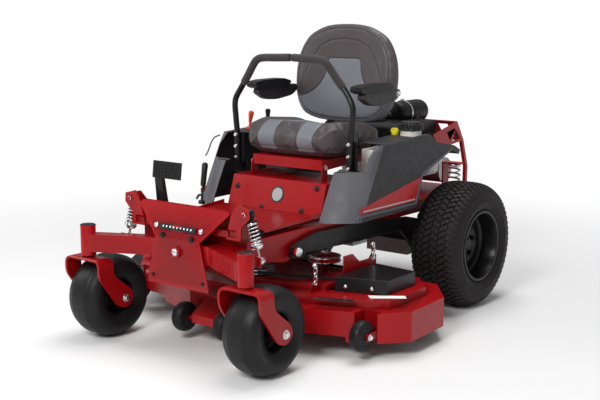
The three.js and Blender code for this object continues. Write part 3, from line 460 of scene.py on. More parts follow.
def polish(node, material, bevel, sort=None, dissolve=True, smooth=36):
    """A CAD node's own shape with its edges rounded and its faces shaded smooth."""
    source = frame["nodes"][node]
    mesh = source.data.copy()
    mesh.materials.clear()
    for finish in material if isinstance(material, (list, tuple)) else [material]:
        mesh.materials.append(finish)
    obj = bpy.data.objects.new(node + "_skin", mesh)
    bpy.context.scene.collection.objects.link(obj)
    for name in [layer.name for layer in mesh.uv_layers]:
        mesh.uv_layers.remove(mesh.uv_layers[name])
    tidy_mesh(mesh, smooth, dissolve)
    mesh.polygons.foreach_set("material_index", [0] * len(mesh.polygons))
    if sort:
        for face in mesh.polygons:
            face.material_index = sort(face)
    if bevel:
        add_bevel(obj, bevel)
    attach(obj, source["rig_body"])
    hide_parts(node)
    return obj


# ---- Pieces whose CAD shape is right -----------------------------------------------------

for node, material, slot, bevel in (
    ("front_axle", RED, "red_paint", 2.5),
    ("main_frame", RED, "red_paint", 1.4),
    ("footrest_pan", RED, "red_paint", 1.2),
    ("seat_base_panel", RED, "red_paint", 1.2),
    ("seat_plate", RED, "red_paint", 1.0),
    ("engine_guard", RED, "red_paint", 1.0),
    ("deck_shell", RED, "red_paint", 1.4),
    ("engine_block", CAST, "cast_alloy", 2.5),
    ("transaxles", CAST, "cast_alloy", 2.5),
    ("engine_shroud", BLACK_PLASTIC, "black_plastic", 4.0),
    ("swing_arm", BLACK_COAT, "black_paint", 1.4),
    ("lift_shaft", BLACK_COAT, "black_paint", 1.0),
    ("deck_pedal", BLACK_COAT, "black_paint", 1.2),
    ("belt_cover_left", BLACK_COAT, "black_paint", 2.5),
    ("belt_cover_right", BLACK_COAT, "black_paint", 2.5),
    ("lap_bar_base_left", BLACK_COAT, "black_paint", 1.2),
    ("lap_bar_base_right", BLACK_COAT, "black_paint", 1.2),
    ("discharge_chute", BLACK_PLASTIC, "black_plastic", 1.5),
    ("blade_spindle_left", ZINC, "zinc_steel", 0.6),
    ("blade_spindle_centre", ZINC, "zinc_steel", 0.6),
    ("blade_spindle_right", ZINC, "zinc_steel", 0.6),
    ("deck_belt", CASTER_RUBBER, "rubber", 0.8),
    ("fuel_tank", TANK, "tank_plastic", 3.0),
):
    polish(node, material, bevel, dissolve=node != "front_axle",
           smooth=14 if slot == "red_paint" else 36)

# ---- Caster forks and wheels -------------------------------------------------------------

SWIVEL_X = 410
CASTER_Y, CASTER_Z = 100, 166.5
FORK_HALF = 100.5


def intersect(name, first, second):
    """The common part of two forms, as a form."""
    made = []
    for k, shape in enumerate((first, second)):
        mesh = bpy.data.meshes.new(f"{name}_{k}")
        mesh.from_pydata(shape.points, [], shape.faces)
        tidy_mesh(mesh, 30)
        obj = bpy.data.objects.new(mesh.name, mesh)
        bpy.context.scene.collection.objects.link(obj)
        made.append(obj)
    common = made[0].modifiers.new("common", "BOOLEAN")
    common.operation = "INTERSECT"
    common.solver = "EXACT"
    common.object = made[1]
    bpy.context.view_layer.update()
    result = made[0].evaluated_get(bpy.context.evaluated_depsgraph_get()).to_mesh()
    whole = Form()
    whole.add(([v.co.copy() for v in result.vertices],
               [list(f.vertices) for f in result.polygons]))
    for obj in made:
        mesh = obj.data
        bpy.data.objects.remove(obj)
        bpy.data.meshes.remove(mesh)
    return whole


def fork_form():
    top, stock = 340, 10
    outer = rounded([(-FORK_HALF, 90), (-FORK_HALF, top), (FORK_HALF, top),
                     (FORK_HALF, 90)], 36, 10)
    inner = rounded([(FORK_HALF - stock, 90), (FORK_HALF - stock, top - stock),
                     (stock - FORK_HALF, top - stock), (stock - FORK_HALF, 90)], 26, 10)
    strap = form(prism("y", outer + inner, -60, 170))
    side = rounded([(-38, 345), (-38, 268), (58, 138), (104, 124), (142, 152), (134, 194),
                    (38, 268), (38, 345)], 26, 6)
    return intersect("fork", strap, form(prism("x", side, -110, 110)))


fork = fork_form()
for side, s in SIDES:
    here = Form()
    here.points = [p + Vector((s * SWIVEL_X, 0, 0)) for p in fork.points]
    here.faces, here.finish = fork.faces, fork.finish
    boss = lathe([(0, 338), (26, 338), (26, 342), (22, 346.6), (13.5, 346.6), (13.5, 455),
                  (0, 455)], (s * SWIVEL_X, 0, 0))
    here.add(boss)
    piece(f"fork_{side}", here, RED, f"caster_{side}", "red_paint", [f"caster_fork_{side}"],
          bevel=1.6, steps=3)
    hardware = Form()
    for e in (-1, 1):
        start = (s * SWIVEL_X + e * FORK_HALF, CASTER_Y, CASTER_Z)
        pieces_of(hex_head(start, (e, 0, 0), 14, 9), into=hardware)
    hardware.add(rod((s * SWIVEL_X - 112, CASTER_Y, CASTER_Z),
                     (s * SWIVEL_X + 112, CASTER_Y, CASTER_Z), 9))
    piece(f"fork_bolt_{side}", hardware, ZINC, f"caster_{side}", "zinc_steel", bevel=0.5)

CASTER_HALF = [(78.5, 60), (80, 64), (84, 67), (98, 73), (112, 78.5), (124, 80.6), (134, 79),
               (143, 74.5), (150, 68), (156, 59), (160, 49), (162.6, 40), (163.4, 39),
               (164.4, 38), (165.6, 30), (166.2, 18), (166.5, 6)]


def mirrored_profile(half):
    return half + [(r, -x) for r, x in half[::-1]]


for side, s in SIDES:
    place = (s * SWIVEL_X, CASTER_Y, CASTER_Z)
    piece(f"caster_tread_{side}", form(lathe(mirrored_profile(CASTER_HALF), place, (1, 0, 0), 112)),
          CASTER_RUBBER, f"caster_wheel_{side}", "tyre_rubber", [f"caster_tyre_{side}"])
    rim = [(10.3, -88), (10.3, 88), (23, 88), (25, 86), (25, 12), (34, 7), (62, 7), (69, 14),
           (73, 58), (76, 63), (78, 64)]
    rim += [(r, -x) for r, x in rim[:1:-1]]
    hub = form(lathe(rim, place, (1, 0, 0), 64))
    piece(f"caster_hub_{side}", hub, BLACK_COAT, f"caster_wheel_{side}", "black_paint",
          [f"caster_rim_{side}"], bevel=0.8)

# ---- Drive wheels ------------------------------------------------------------------------

DRIVE = (476, 1400, 278)
TREAD_ROWS = ((-104, -72), (-68, -38), (-34, -4), (4, 34), (38, 68), (72, 104))
TREAD_COUNT = 60


def tread_radius(x):
    return 278 - 27 * (abs(x) / 106) ** 4


def tread():
    whole = Form()
    pitch = 2 * math.pi / TREAD_COUNT
    for row, (x0, x1) in enumerate(TREAD_ROWS):
        middle = (x0 + x1) / 2
        stations = [x0, middle - 3, middle + 3, x1]
        slant = (0.16 if row % 2 else -0.16) * pitch
        for k in range(TREAD_COUNT):
            centre = (k + 0.5 * (row % 2)) * pitch
            half = pitch * 0.33
            points = []
            for depth in (-13, 0):
                taper = 1 if depth else 0.9
                for i, x in enumerate(stations):
                    shift = slant * (-1 if i < 2 else 1)
                    for e in (-1, 1):
                        angle = centre + shift + e * half * taper
                        r = tread_radius(x) + depth
                        points.append((x, r * math.cos(angle), r * math.sin(angle)))
            top, low = 8, 0
            faces = [[top, top + 1, low + 1, low], [top + 6, low + 6, low + 7, top + 7]]
            for i in range(3):
                a = 2 * i
                faces += [[top + a, top + a + 2, top + a + 3, top + a + 1],
                          [top + a, low + a, low + a + 2, top + a + 2],
                          [top + a + 1, top + a + 3, low + a + 3, low + a + 1],
                          [low + a, low + a + 1, low + a + 3, low + a + 2]]
            whole.add((points, faces))
    return whole


TYRE_HALF = [(150.4, 100.5), (155, 102), (159, 101), (160.5, 98.5), (166, 104), (176, 110),
             (190, 114.5), (196, 115.6), (198, 117), (201, 116.8), (203, 115.8), (218, 115),
             (232, 112), (244, 107), (252, 101), (258, 92), (263, 76), (265.5, 60), (267.5, 40),
             (268.5, 20)]
lugs = tread()
for side, s in SIDES:
    place = Vector((s * DRIVE[0], DRIVE[1], DRIVE[2]))
    tyre = form(lathe(mirrored_profile(TYRE_HALF), place, (s, 0, 0), 144))
    tyre.add(([Vector((s * p.x, p.y, p.z)) + place for p in lugs.points], lugs.faces))
    piece(f"drive_tread_{side}", tyre, TYRE, f"drive_wheel_{side}", "tyre_rubber",
          [f"rear_tyre_{side}"])
    dish = [(0, 15.5), (112, 15.5), (126, 8), (140, -6), (144, -22), (144, -100), (147, -105),
            (156, -105), (157, -101), (150, -100), (150, 100), (157, 101), (156, 105), (147, 105),
            (144, 101), (142.5, 60), (139, 52), (137, 30), (128, 20), (112, 22), (86, 30),
            (72, 32), (62, 27), (48, 23), (0, 23)]
    rim = form(lathe(dish, place, (s, 0, 0), 96))
    nuts = Form()
    for k in range(5):
        angle = 2 * math.pi * k / 5 + 0.3
        spot = place + Vector((s * 24, 56 * math.cos(angle), 56 * math.sin(angle)))
        pieces_of(hex_head(spot, (s, 0, 0), 11, 13, washer=False), into=nuts)
    nuts.add(rod(place + Vector((s * 22, 0, 0)), place + Vector((s * 40, 0, 0)), 26, 32, 3))
    piece(f"drive_rim_{side}", rim, BLACK_COAT, f"drive_wheel_{side}", "black_paint",
          [f"rear_rim_{side}"], bevel=0.8)
    piece(f"wheel_nuts_{side}", nuts, BLACK_COAT, f"drive_wheel_{side}", "black_paint",
          bevel=0.8)

# ---- Front axle details ------------------------------------------------------------------

AXLE_Z = 400
for side, s in SIDES:
    x = s * SWIVEL_X
    tube = lathe([(24, 346.9), (28.6, 346.9), (30.3, 348.5), (30.3, 466), (29.4, 467.6),
                  (24, 467.6)], (x, 0, 0), segments=64)
    piece(f"head_tube_{side}", form(tube), RED, "front_axle", "red_paint")
    cap = lathe([(0, 467.8), (29.4, 467.8), (29.8, 468.8), (27, 470.6), (0, 471)], (x, 0, 0),
                segments=48)
    piece(f"head_cap_{side}", form(cap), BLACK_PLASTIC, "front_axle", "black_plastic")
    beads = Form()
    for height in (AXLE_Z - 34, AXLE_Z + 34):
        arc = [(x + 31.4 * math.cos(a), 31.4 * math.sin(a), height)
               for a in (math.pi / 2 + s * (k * 0.11 - 0.2) for k in range(18))]
        beads.add(sweep(arc, lambda share: 2.2 + 0.5 * math.sin(share * 110), 8))
    piece(f"axle_weld_{side}", beads, RED, "front_axle", "red_paint")

# ---- Shocks ------------------------------------------------------------------------------

SHOCK_TOP, SHOCK_FOOT, SHOCK_Y = (298, 569.5), (346, 400), 155
REAR_SPRING_X, REAR_SPRING_Y = 316, 1604


def coil(top, direction, start, end, radius, wire, turns, sides=12):
    u, v, w = axes(direction)
    path = []
    steps = int(turns * 28)
    for k in range(steps + 1):
        share = k / steps
        eased = min(1.0, max(0.0, (share * turns - 0.8) / (turns - 1.6)))
        angle = 2 * math.pi * turns * share
        along = start + wire + (end - start - 2 * wire) * eased
        path.append(Vector(top) + w * along + (u * math.cos(angle) + v * math.sin(angle)) * radius)
    return sweep(path, wire, sides)


for side, s in SIDES:
    top = Vector((s * SHOCK_TOP[0], SHOCK_Y, SHOCK_TOP[1]))
    foot = Vector((s * SHOCK_FOOT[0], SHOCK_Y, SHOCK_FOOT[1]))
    down = (foot - top).normalized()
    length = (foot - top).length
    damper = Form()
    damper.add(lathe([(6.2, 12), (10, 12), (11, 27), (23, 28), (24.5, 30), (24.5, 32.7),
                      (12.5, 32.7), (12.5, 90), (11.5, 92), (6.2, 92)], top, down, 40))
    damper.add(lathe([(7.8, -10), (16, -10), (17.4, -8), (17.4, 8), (16, 10), (7.8, 10)],
                     top, (0, 1, 0), 40))
    piece(f"damper_{side}", damper, BLACK_COAT, f"shock_{side}", "black_paint",
          [f"shock_body_{side}"])
    plunger = Form()
    plunger.add(lathe([(0, 117.3), (25, 117.3), (25, 120), (22, 128), (20, 131), (0, 131)],
                      top, down, 40))
    plunger.add(rod(top + down * 62, top + down * (length - 14), 5.5))
    plunger.add(lathe([(8.8, -10), (16, -10), (17.4, -8), (17.4, 8), (16, 10), (8.8, 10)],
                      foot, (0, 1, 0), 40))
    piece(f"plunger_{side}", plunger, ZINC, f"shock_rod_{side}", "zinc_steel",
          [f"shock_rod_{side}"])
    spring = piece(f"shock_coil_{side}", form(coil(top, down, 33.2, 117, 20.3, 2.7, 7.5)),
                   ZINC, None, "zinc_steel", [f"shock_spring_{side}"])
    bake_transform(spring)
    nuts = Form()
    pieces_of(hex_head(top + Vector((0, -30, 0)), (0, -1, 0), 10, 7), into=nuts)
    pieces_of(hex_head(top + Vector((0, 12, 0)), (0, 1, 0), 10, 7), into=nuts)
    piece(f"shock_top_bolt_{side}", nuts, ZINC, "chassis", "zinc_steel")
    piece(f"shock_foot_bolt_{side}",
          pieces_of(hex_head(foot + Vector((0, 11, 0)), (0, 1, 0), 11, 8)), ZINC, "front_axle",
          "zinc_steel")

    rear = piece(f"rear_coil_{side}",
                 form(coil((s * REAR_SPRING_X, REAR_SPRING_Y, 600), (0, 0, -1), 0.6, 153.4,
                           25, 4.4, 8)),
                 ZINC, None, "zinc_steel", [f"rear_spring_{side}"])
    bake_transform(rear)

# ---- Seat --------------------------------------------------------------------------------

def in_view_layer(obj):
    bpy.context.view_layer.update()
    return obj.evaluated_get(bpy.context.evaluated_depsgraph_get())


def bake(obj):
    """Turns the modifiers of an object into its mesh."""
    mesh = bpy.data.meshes.new_from_object(in_view_layer(obj))
    obj.modifiers.clear()
    obj.data = mesh
    return obj


def coordinates(mesh):
    flat = np.empty(len(mesh.vertices) * 3)
    mesh.vertices.foreach_get("co", flat)
    return flat.reshape(-1, 3)


def set_coordinates(mesh, values):
    mesh.vertices.foreach_set("co", values.ravel())
    mesh.update()


def swollen(name, shape, cap, voxel=5.5):
    """A padded form: remeshed, swollen by cloth pressure, no point moving more than cap."""
    mesh = bpy.data.meshes.new(name)
    mesh.from_pydata([p * MM for p in shape.points], [], shape.faces)
    tidy_mesh(mesh, 60)
    obj = bpy.data.objects.new(name, mesh)
    scene = bpy.context.scene
    scene.collection.objects.link(obj)
    voxels = obj.modifiers.new("voxels", "REMESH")
    voxels.mode = "VOXEL"
    voxels.voxel_size = voxel * MM
    even = obj.modifiers.new("even", "SMOOTH")
    even.iterations = 3
    bake(obj)
    start = coordinates(obj.data)
    cloth = obj.modifiers.new("Cloth", "CLOTH")
    cloth.settings.use_pressure = True
    cloth.settings.uniform_pressure_force = 4
    cloth.settings.effector_weights.gravity = 0
    cloth.point_cache.frame_end = 20
    for moment in range(1, 21):
        scene.frame_set(moment)
    swell = coordinates(in_view_layer(obj).to_mesh()) - start
    obj.modifiers.clear()
    scene.frame_set(1)
    reach = np.linalg.norm(swell, axis=1, keepdims=True)
    swell *= np.minimum(1.0, cap * MM / np.maximum(reach, 1e-9))
    set_coordinates(obj.data, start + swell)
    settle = obj.modifiers.new("settle", "SMOOTH")
    settle.iterations = 4
    bake(obj)
    fine = obj.modifiers.new("fine", "SUBSURF")
    fine.levels = fine.render_levels = 1
    return bake(obj)


def line_distance(points, outline, closed=True):
    """Distance from each point to a line of straight stretches, and whether it is inside."""
    best = np.full(len(points), np.inf)
    inside = np.zeros(len(points), bool)
    count = len(outline) if closed else len(outline) - 1
    for i in range(count):
        a = np.array(outline[i], float)
        b = np.array(outline[(i + 1) % len(outline)], float)
        along = b - a
        if not along.any():
            continue
        share = np.clip(((points - a) @ along) / (along @ along), 0, 1)
        best = np.minimum(best, np.linalg.norm(points - a - share[:, None] * along, axis=1))
        crosses = (a[1] > points[:, 1]) != (b[1] > points[:, 1])
        with np.errstate(divide="ignore", invalid="ignore"):
            where = a[0] + (points[:, 1] - a[1]) * along[0] / along[1]
        inside ^= crosses & (points[:, 0] < where)
    return best, inside


def store(mesh, name, values):
    layer = mesh.attributes.new(name, "FLOAT", "POINT")
    layer.data.foreach_set("value", values.astype(np.float32))


def vertex_normals(mesh):
    flat = np.empty(len(mesh.vertices) * 3)
    mesh.vertices.foreach_get("normal", flat)
    return flat.reshape(-1, 3)


def carve(mesh, distance, depth, width):
    """A sewn channel along the places where distance is near nought (both in mm)."""
    groove = np.exp(-(distance / width) ** 2) * depth * MM
    set_coordinates(mesh, coordinates(mesh) - vertex_normals(mesh) * groove[:, None])


def cast_line(obj, rays, lift):
    """Where rays of (start, aim) in mm meet a padded form, lifted off its surface."""
    tree = BVHTree.FromObject(obj, bpy.context.evaluated_depsgraph_get())
    hits = []
    for start, aim in rays:
        hit, normal, _, _ = tree.ray_cast(Vector(start) * MM, Vector(aim).normalized())
        if hit is not None:
            hits.append((hit + normal * lift * MM) / MM)
    return hits


VINYL = Surface("seat_vinyl", srgb(70, 63, 65), 0.46, grain=520, depth=0.35, mottle=0.1,
                patch=12)
VINYL.zone("insert", srgb(112, 114, 121))
PIPING = Surface("seat_piping", srgb(48, 43, 45), 0.5, grain=1400, depth=0.15).material
SEAT_SHELL = Surface("seat_shell", srgb(40, 35, 38), 0.5, grain=900, depth=0.2).material


def finish_pad(obj, matrix, body, nodes):
    obj.data.transform(matrix @ Matrix.Scale(1 / MM, 4))
    obj.data.materials.clear()
    obj.data.materials.append(VINYL.material)
    obj.data.polygons.foreach_set("use_smooth", [True] * len(obj.data.polygons))
    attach(obj, body)
    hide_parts(*nodes)


cushion_side = rounded([(754, 722), (716, 740), (711, 792), (756, 824), (900, 811), (1110, 794),
                        (1112, 720), (800, 720)], 22)
cushion_front = rounded([(-250, 712), (250, 712), (250, 836), (-250, 836)], 36)
cushion_plan = rounded([(-250, 1126), (-254, 800), (-186, 702), (186, 702), (254, 800),
                        (250, 1126)], 90, 8)
block_form = intersect("pad_a", form(prism("x", cushion_side, -260, 260)),
                       form(prism("y", cushion_front, 690, 1140)))
block_form = intersect("pad_b", block_form, form(prism("z", cushion_plan, 690, 860)))
cushion = swollen("seat_cushion_pad", block_form, 22)

STRIPE = (60, 145)


def shape_cushion(obj):
    mesh = obj.data
    p = coordinates(mesh) / MM
    x, y, z = p.T
    up_facing = np.clip((vertex_normals(mesh)[:, 2] - 0.2) * 2, 0, 1)
    hollow = np.exp(-(x / 120) ** 4 - ((y - 960) / 130) ** 4) * 12
    bolster = np.exp(-((np.abs(x) - 195) / 34) ** 2) * np.clip((y - 770) / 90, 0, 1) * 9
    p[:, 2] += (bolster - hollow) * up_facing
    set_coordinates(mesh, p * MM)
    top = z > 726
    for seam in (STRIPE[0], STRIPE[1] + 2):
        gap = np.where(top, np.abs(np.abs(x) - seam), 99)
        carve(mesh, gap, 2.2, 4.0)
    carve(mesh, np.where(top, np.abs(z - 733), 99), 2.0, 4.0)
    inside = np.maximum(STRIPE[0] - np.abs(x), np.abs(x) - STRIPE[1])
    store(mesh, "insert", np.where(z > 722, inside, 20) * MM)


shape_cushion(cushion)
seams = Form()
for s in (-1, 1):
    for x in (STRIPE[0], STRIPE[1] + 2):
        rays = []
        for k in range(70):
            angle = math.radians(-10 + 196 * k / 69)
            away = Vector((0, -math.cos(angle), math.sin(angle)))
            start = Vector((s * x, 920, 765)) + Vector((0, away.y * 400, away.z * 200))
            rays.append((start, Vector((s * x, 920, 765)) - start))
        seams.add(sweep(smooth_path(cast_line(cushion, rays, 0.1)[::2], 3), 1.5, 8))
finish_pad(cushion, TO_SCENE, "seat", ["seat_cushion"])
piece("seat_cushion_seams", seams, PIPING, "seat", "seat_vinyl")

BACK = TO_SCENE @ Matrix.Translation((0, 1124, 722)) @ Matrix.Rotation(math.radians(-4), 4, "X")
BACK_HALF = [(60, 88), (150, 96), (224, 122), (264, 190), (276, 290), (262, 390), (212, 478),
             (120, 520), (50, 530)]


def both_halves(half):
    return half + [(-x, z) for x, z in half[::-1]]


def shrunk(outline, share_x, share_z, middle_z=310):
    return [(x * share_x, middle_z + (z - middle_z) * share_z) for x, z in outline]


back_outline = rounded(both_halves(BACK_HALF), 60, 5)
backrest = swollen("seat_back_pad", form(prism("y", shrunk(back_outline, 1.04, 1.04), 8, 36)),
                   13)
INSERT_HALF = [(0, 374), (74, 373), (88, 364), (92, 332), (104, 290), (130, 250), (164, 222),
               (204, 204), (262, 192), (262, 118), (214, 92), (150, 66), (0, 60)]
SEAM_RING = (0.9, 0.91)  # share of the outline where the rim seam runs, across and up
ARCH = [(-238, 196), (-228, 240), (-202, 310), (-168, 375), (-130, 425), (-80, 452), (0, 461),
        (80, 452), (130, 425), (168, 375), (202, 310), (228, 240), (238, 196)]


def shape_backrest(obj):
    mesh = obj.data
    p = coordinates(mesh) / MM
    x, y, z = p.T
    flat = np.stack([x, z], 1)
    front = np.clip(-vertex_normals(mesh)[:, 1] * 2, 0, 1)
    hollow = np.exp(-(x / 120) ** 4 - ((z - 300) / 170) ** 4) * 9
    lumbar = np.exp(-(x / 170) ** 4 - ((z - 170) / 60) ** 2) * 7
    wings = np.exp(-((np.abs(x) - 215) / 40) ** 2 - ((z - 260) / 120) ** 2) * 10
    p[:, 1] += (hollow - lumbar - wings) * front
    set_coordinates(mesh, p * MM)
    gap, inside = line_distance(flat, both_halves(INSERT_HALF)[::-1])
    front_only = y < 20
    carve(mesh, np.where(front_only, gap, 99), 2.0, 4.0)
    arch_gap, _ = line_distance(flat, ARCH, closed=False)
    carve(mesh, np.where(front_only, arch_gap, 99), 2.2, 4.0)
    rim_gap, _ = line_distance(flat, shrunk(back_outline, *SEAM_RING))
    carve(mesh, np.where(front_only, rim_gap, 99), 2.4, 4.5)
    store(mesh, "insert", np.where(front_only & inside, -gap, gap) * MM)


shape_backrest(backrest)
seams = Form()
insert_line = [(x, z) for x, z in INSERT_HALF[:9]]
insert_line = insert_line[::-1] + [(-x, z) for x, z in insert_line[1:]]
for line in (insert_line, ARCH):
    path = smooth_path([(x, -120, z) for x, z in line], 8)
    hits = cast_line(backrest, [(q, (0, 1, 0)) for q in path], 0.1)
    seams.add(sweep(hits, 1.5, 8))
ring = [(x, -120, z) for x, z in shrunk(back_outline, *SEAM_RING)]
seams.add(sweep(cast_line(backrest, [(q, (0, 1, 0)) for q in ring], 0.1), 1.8, 8, closed=True))
finish_pad(backrest, BACK, "seat", ["seat_backrest"])
piece("seat_back_seams", seams, PIPING, "seat", "seat_vinyl", scale=BACK)
shell = form(prism("y", shrunk(back_outline, 0.965, 0.965), 37, 50))
shell.add(prism("y", shrunk(back_outline, 0.88, 0.9), 48, 66))
piece("seat_back_shell", shell, SEAT_SHELL, "seat", "seat_vinyl", bevel=9, steps=5, smooth=50,
      scale=BACK)
struts = Form()
for s in (-1, 1):
    struts.add(prism("x", [(24, -8), (34, -8), (34, 130), (24, 130)], s * 62, s * 92))
    pieces_of([lathe([(0, 0), (9, 0), (9, 2), (7, 4), (0, 4)], (s * 77, 23.5, 52), (0, -1, 0))],
              into=struts)
piece("seat_back_struts", struts, BLACK_COAT, "seat", "black_paint", bevel=1.2, scale=BACK)

pad = rounded([(843, 972), (845, 994), (900, 1001), (1040, 1003), (1098, 988), (1070, 966),
               (960, 960), (880, 961)], 16)
rest = form(prism("x", pad, 250, 308))
both("armrest_pad", rest, BLACK_PLASTIC, "armrest", "black_plastic", ["armrest"], bevel=9,
     steps=5, smooth=60)
arm = form(prism("x", rounded([(872, 944), (884, 968), (1060, 975), (1150, 972), (1160, 950),
                               (1120, 922), (1010, 908), (930, 912)], 22), 262, 300))
both("armrest_arm", arm, SEAT_SHELL, "armrest", "black_plastic", bevel=7, steps=4, smooth=60)
pivot = pieces_of(hex_head((300, 1132, 952), (1, 0, 0), 10, 8))
both("armrest_bolt", pivot, ZINC, "armrest", "zinc_steel", bevel=0.5)

# ---- Lap bars ----------------------------------------------------------------------------

BAR = [(303, 777, 650), (304, 777, 710), (305, 777, 770), (311, 776, 838), (316, 776, 896),
       (312, 776, 922), (300, 777, 945), (272, 778, 984), (232, 772, 1034), (196, 766, 1081),
       (182, 765, 1094), (164, 765, 1102), (140, 768, 1105), (70, 772, 1107), (8, 775, 1109)]
bar = form(sweep(smooth_path(BAR, 7), 12.7, 28))
both("lap_bar_tube", bar, BLACK_COAT, "lap_bar", "black_paint", ["lap_bar"])


def grip_radius(share):
    ends = min(share, 0.988 - share) / 0.03
    return 12.9 + 3.7 * math.sqrt(max(0.0, 1 - (1 - min(1.0, max(0.0, ends))) ** 2))


grip_path = smooth_path([(266, 777, 991)] + BAR[8:], 9)
grip_path.append(Vector((5.5, 775, 1109)))
both("lap_bar_grip", form(sweep(grip_path, grip_radius, 32)), FOAM, "lap_bar", "rubber")
plate = form(prism("y", rounded([(276, 642), (330, 642), (330, 776), (276, 776)], 9), 787, 793))
plate.add(prism("y", [(290, 640), (316, 640), (316, 656), (290, 656)], 793, 803))
plate.add(lathe([(6.8, 0), (13, 0), (13, 16), (6.8, 16)], (303, 800, 640), (0, 1, 0), 32))
both("lap_bar_plate", plate, BLACK_COAT, "lap_bar", "black_paint", bevel=0.8)
bolts = Form()
for height in (666, 716, 766):
    pieces_of([lathe([(0, 0), (9, 0), (9, 3), (6.5, 7), (0, 8.5)],
                     (303, 765.5, height), (0, -1, 0), 28)], into=bolts)
both("lap_bar_bolt", bolts, ZINC, "lap_bar", "zinc_steel")

# ---- Fenders -----------------------------------------------------------------------------

# painted light: the front-facing faces of each fender get the lighter grey, standing in for light
# falling on that side
for side, s in SIDES:
    polish(f"fender_{side}", [CHARCOAL, GREY_TRIM_AND_LIT_FRONT], 5,
           sort=lambda face: int(face.normal.y < -0.3 and abs(face.normal.z) < 0.9))


rail = [(646, 478), (660, 492), (1086, 492), (1136, 612), (1378, 698), (1378, 708), (1128, 622),
        (1078, 502), (656, 502), (640, 488)]
strip = form(prism("x", rail, 427, 433.5))
both("fender_strip", strip, GREY_TRIM_AND_LIT_FRONT, "chassis", "charcoal_plastic", bevel=1.5, steps=3)
brow = smooth_path([(430, 706, 668), (430, 724, 690), (430, 742, 722), (430, 764, 744),
                    (430, 800, 752)], 8)
both("fender_ridge", form(sweep(brow, lambda t: 3.2, 12)), GREY_TRIM_AND_LIT_FRONT, "chassis",
     "charcoal_plastic")
red_band = form(prism("x", [(672, 506), (672, 528), (1124, 606), (1080, 508)], 429.5, 431.2))
both("fender_panel_red", red_band, RED, "chassis", "red_paint")
pinstripe = form(prism("x", [(690, 513), (690, 518), (1076, 518), (1074, 513)], 430.5, 431.8))
both("fender_pinstripe", pinstripe, GREY_LABEL, "chassis", "charcoal_plastic")

# ---- Fuel cap, knobs and hand levers -----------------------------------------------------

def ribbed(profile, place, ribs, depth, low, high, segments=144):
    """A turned form whose side between two heights is fluted."""
    points, faces = lathe(profile, place, (0, 0, 1), segments)
    for p in points:
        flat = Vector((p.x - place[0], p.y - place[1], 0))
        if flat.length > 1 and low <= p.z - place[2] <= high:
            wave = 0.5 + 0.5 * math.cos(ribs * math.atan2(flat.y, flat.x))
            shift = flat.normalized() * -depth * wave
            p.x += shift.x
            p.y += shift.y
    return points, faces


FILLER = (345, 1170)
cap = ribbed([(0, 0.4), (50, 0.4), (52.5, 2), (53, 6), (53, 24), (51, 28), (44, 30), (43, 33),
              (40, 37), (0, 39)], (*FILLER, 795), 18, 3.2, 3, 26)
piece("fuel_cap_ribs", form(cap), BLACK_PLASTIC, "fuel_cap", "black_plastic", ["fuel_cap"])
neck = lathe([(30, 736), (46, 736), (46, 780), (44.5, 783), (44.5, 794.7), (30, 794.7)],
             (*FILLER, 0), segments=64)
piece("filler_neck", form(neck), TANK, "chassis", "tank_plastic")
knob = form(lathe([(0, 776.4), (13, 776.4), (14, 779), (14, 789), (11, 792.5), (0, 792.5)],
                  (300, 1110, 0), segments=36))
knob.add(prism("y", rounded([(283, 788), (317, 788), (319, 800), (310, 808), (290, 808),
                             (281, 800)], 6), 1104.5, 1115.5))
piece("fuel_knob", knob, YELLOW, "fuel_valve", "yellow_plastic", ["fuel_valve_knob"], bevel=2,
      steps=3)


def hand_lever(name, foot, tip, grip, material, body, slot, node, stem=BLACK_COAT):
    foot, tip = Vector(foot), Vector(tip)
    middle = foot.lerp(tip, 0.45)
    handle = form(lathe(grip, middle, tip - middle, 36))
    piece(name + "_grip", handle, material, body, slot, [node])
    arm = form(rod(foot, tip.lerp(foot, 0.3), 5))
    arm.add(rod(foot - Vector((12, 0, 0)), foot + Vector((12, 0, 0)), 9))
    piece(name + "_stem", arm, stem, body, "black_paint")


hand_lever("throttle", (-345, 905, 780), (-338, 911, 852),
           [(0, -8), (6, -8), (8, 2), (10.5, 20), (12.5, 34), (11, 42), (5, 47), (0, 47.5)],
           ORANGE, "throttle", "orange_plastic", "throttle_lever", ORANGE)
hand_lever("parking", (-304, 985, 784), (-300, 982, 862),
           [(0, -6), (9, -6), (10, 0), (9.5, 22), (12, 32), (12, 40), (8, 45), (0, 46.5)],
           BLACK_PLASTIC, "parking_brake", "black_plastic", "parking_brake_lever")
hand_lever("transport", (-286, 522, 500), (-300, 562, 660),
           [(0, -6), (10, -6), (12, 4), (12.5, 60), (13.5, 84), (10, 93), (0, 96)],
           BLACK_PLASTIC, "transport_lock", "black_plastic", "transport_lock_lever")

# ---- Engine ------------------------------------------------------------------------------

CANISTER_X, CANISTER_Z = 52, 828
canister = form(lathe([(0, 0), (36, 0), (42, 3), (52, 10), (54.5, 16), (54.5, 60), (57, 62),
                       (57.5, 76), (54.5, 78), (54, 130), (54, 212), (50, 222), (42, 228),
                       (0, 229)], (CANISTER_X, 1490, CANISTER_Z), (0, 1, 0), 64))
for k in range(5):
    ring_y = 1590 + 24 * k
    canister.add(lathe([(53, -2), (55.6, -1), (55.6, 1), (53, 2)],
                       (CANISTER_X, ring_y, CANISTER_Z), (0, 1, 0), 64))
canister.add(rod((40, 1520, 812), (-60, 1440, 812), 25, 36, 4))
canister.add(prism("z", rounded([(-150, 1390), (-20, 1390), (-20, 1560), (-150, 1560)], 22),
                   800.5, 846))
piece("air_canister", canister, BLACK_PLASTIC, "chassis", "black_plastic", ["air_filter"],
      bevel=1.5)
clamp = form(lathe([(57.4, -5), (58.8, -5), (58.8, 5), (57.4, 5)],
                   (CANISTER_X, 1559, CANISTER_Z), (0, 1, 0), 64))
clamp.add(block(44, 60, 1552, 1566, 884, 893))
piece("canister_clamp", clamp, ZINC, "chassis", "zinc_steel", bevel=0.6)
screen = Form()
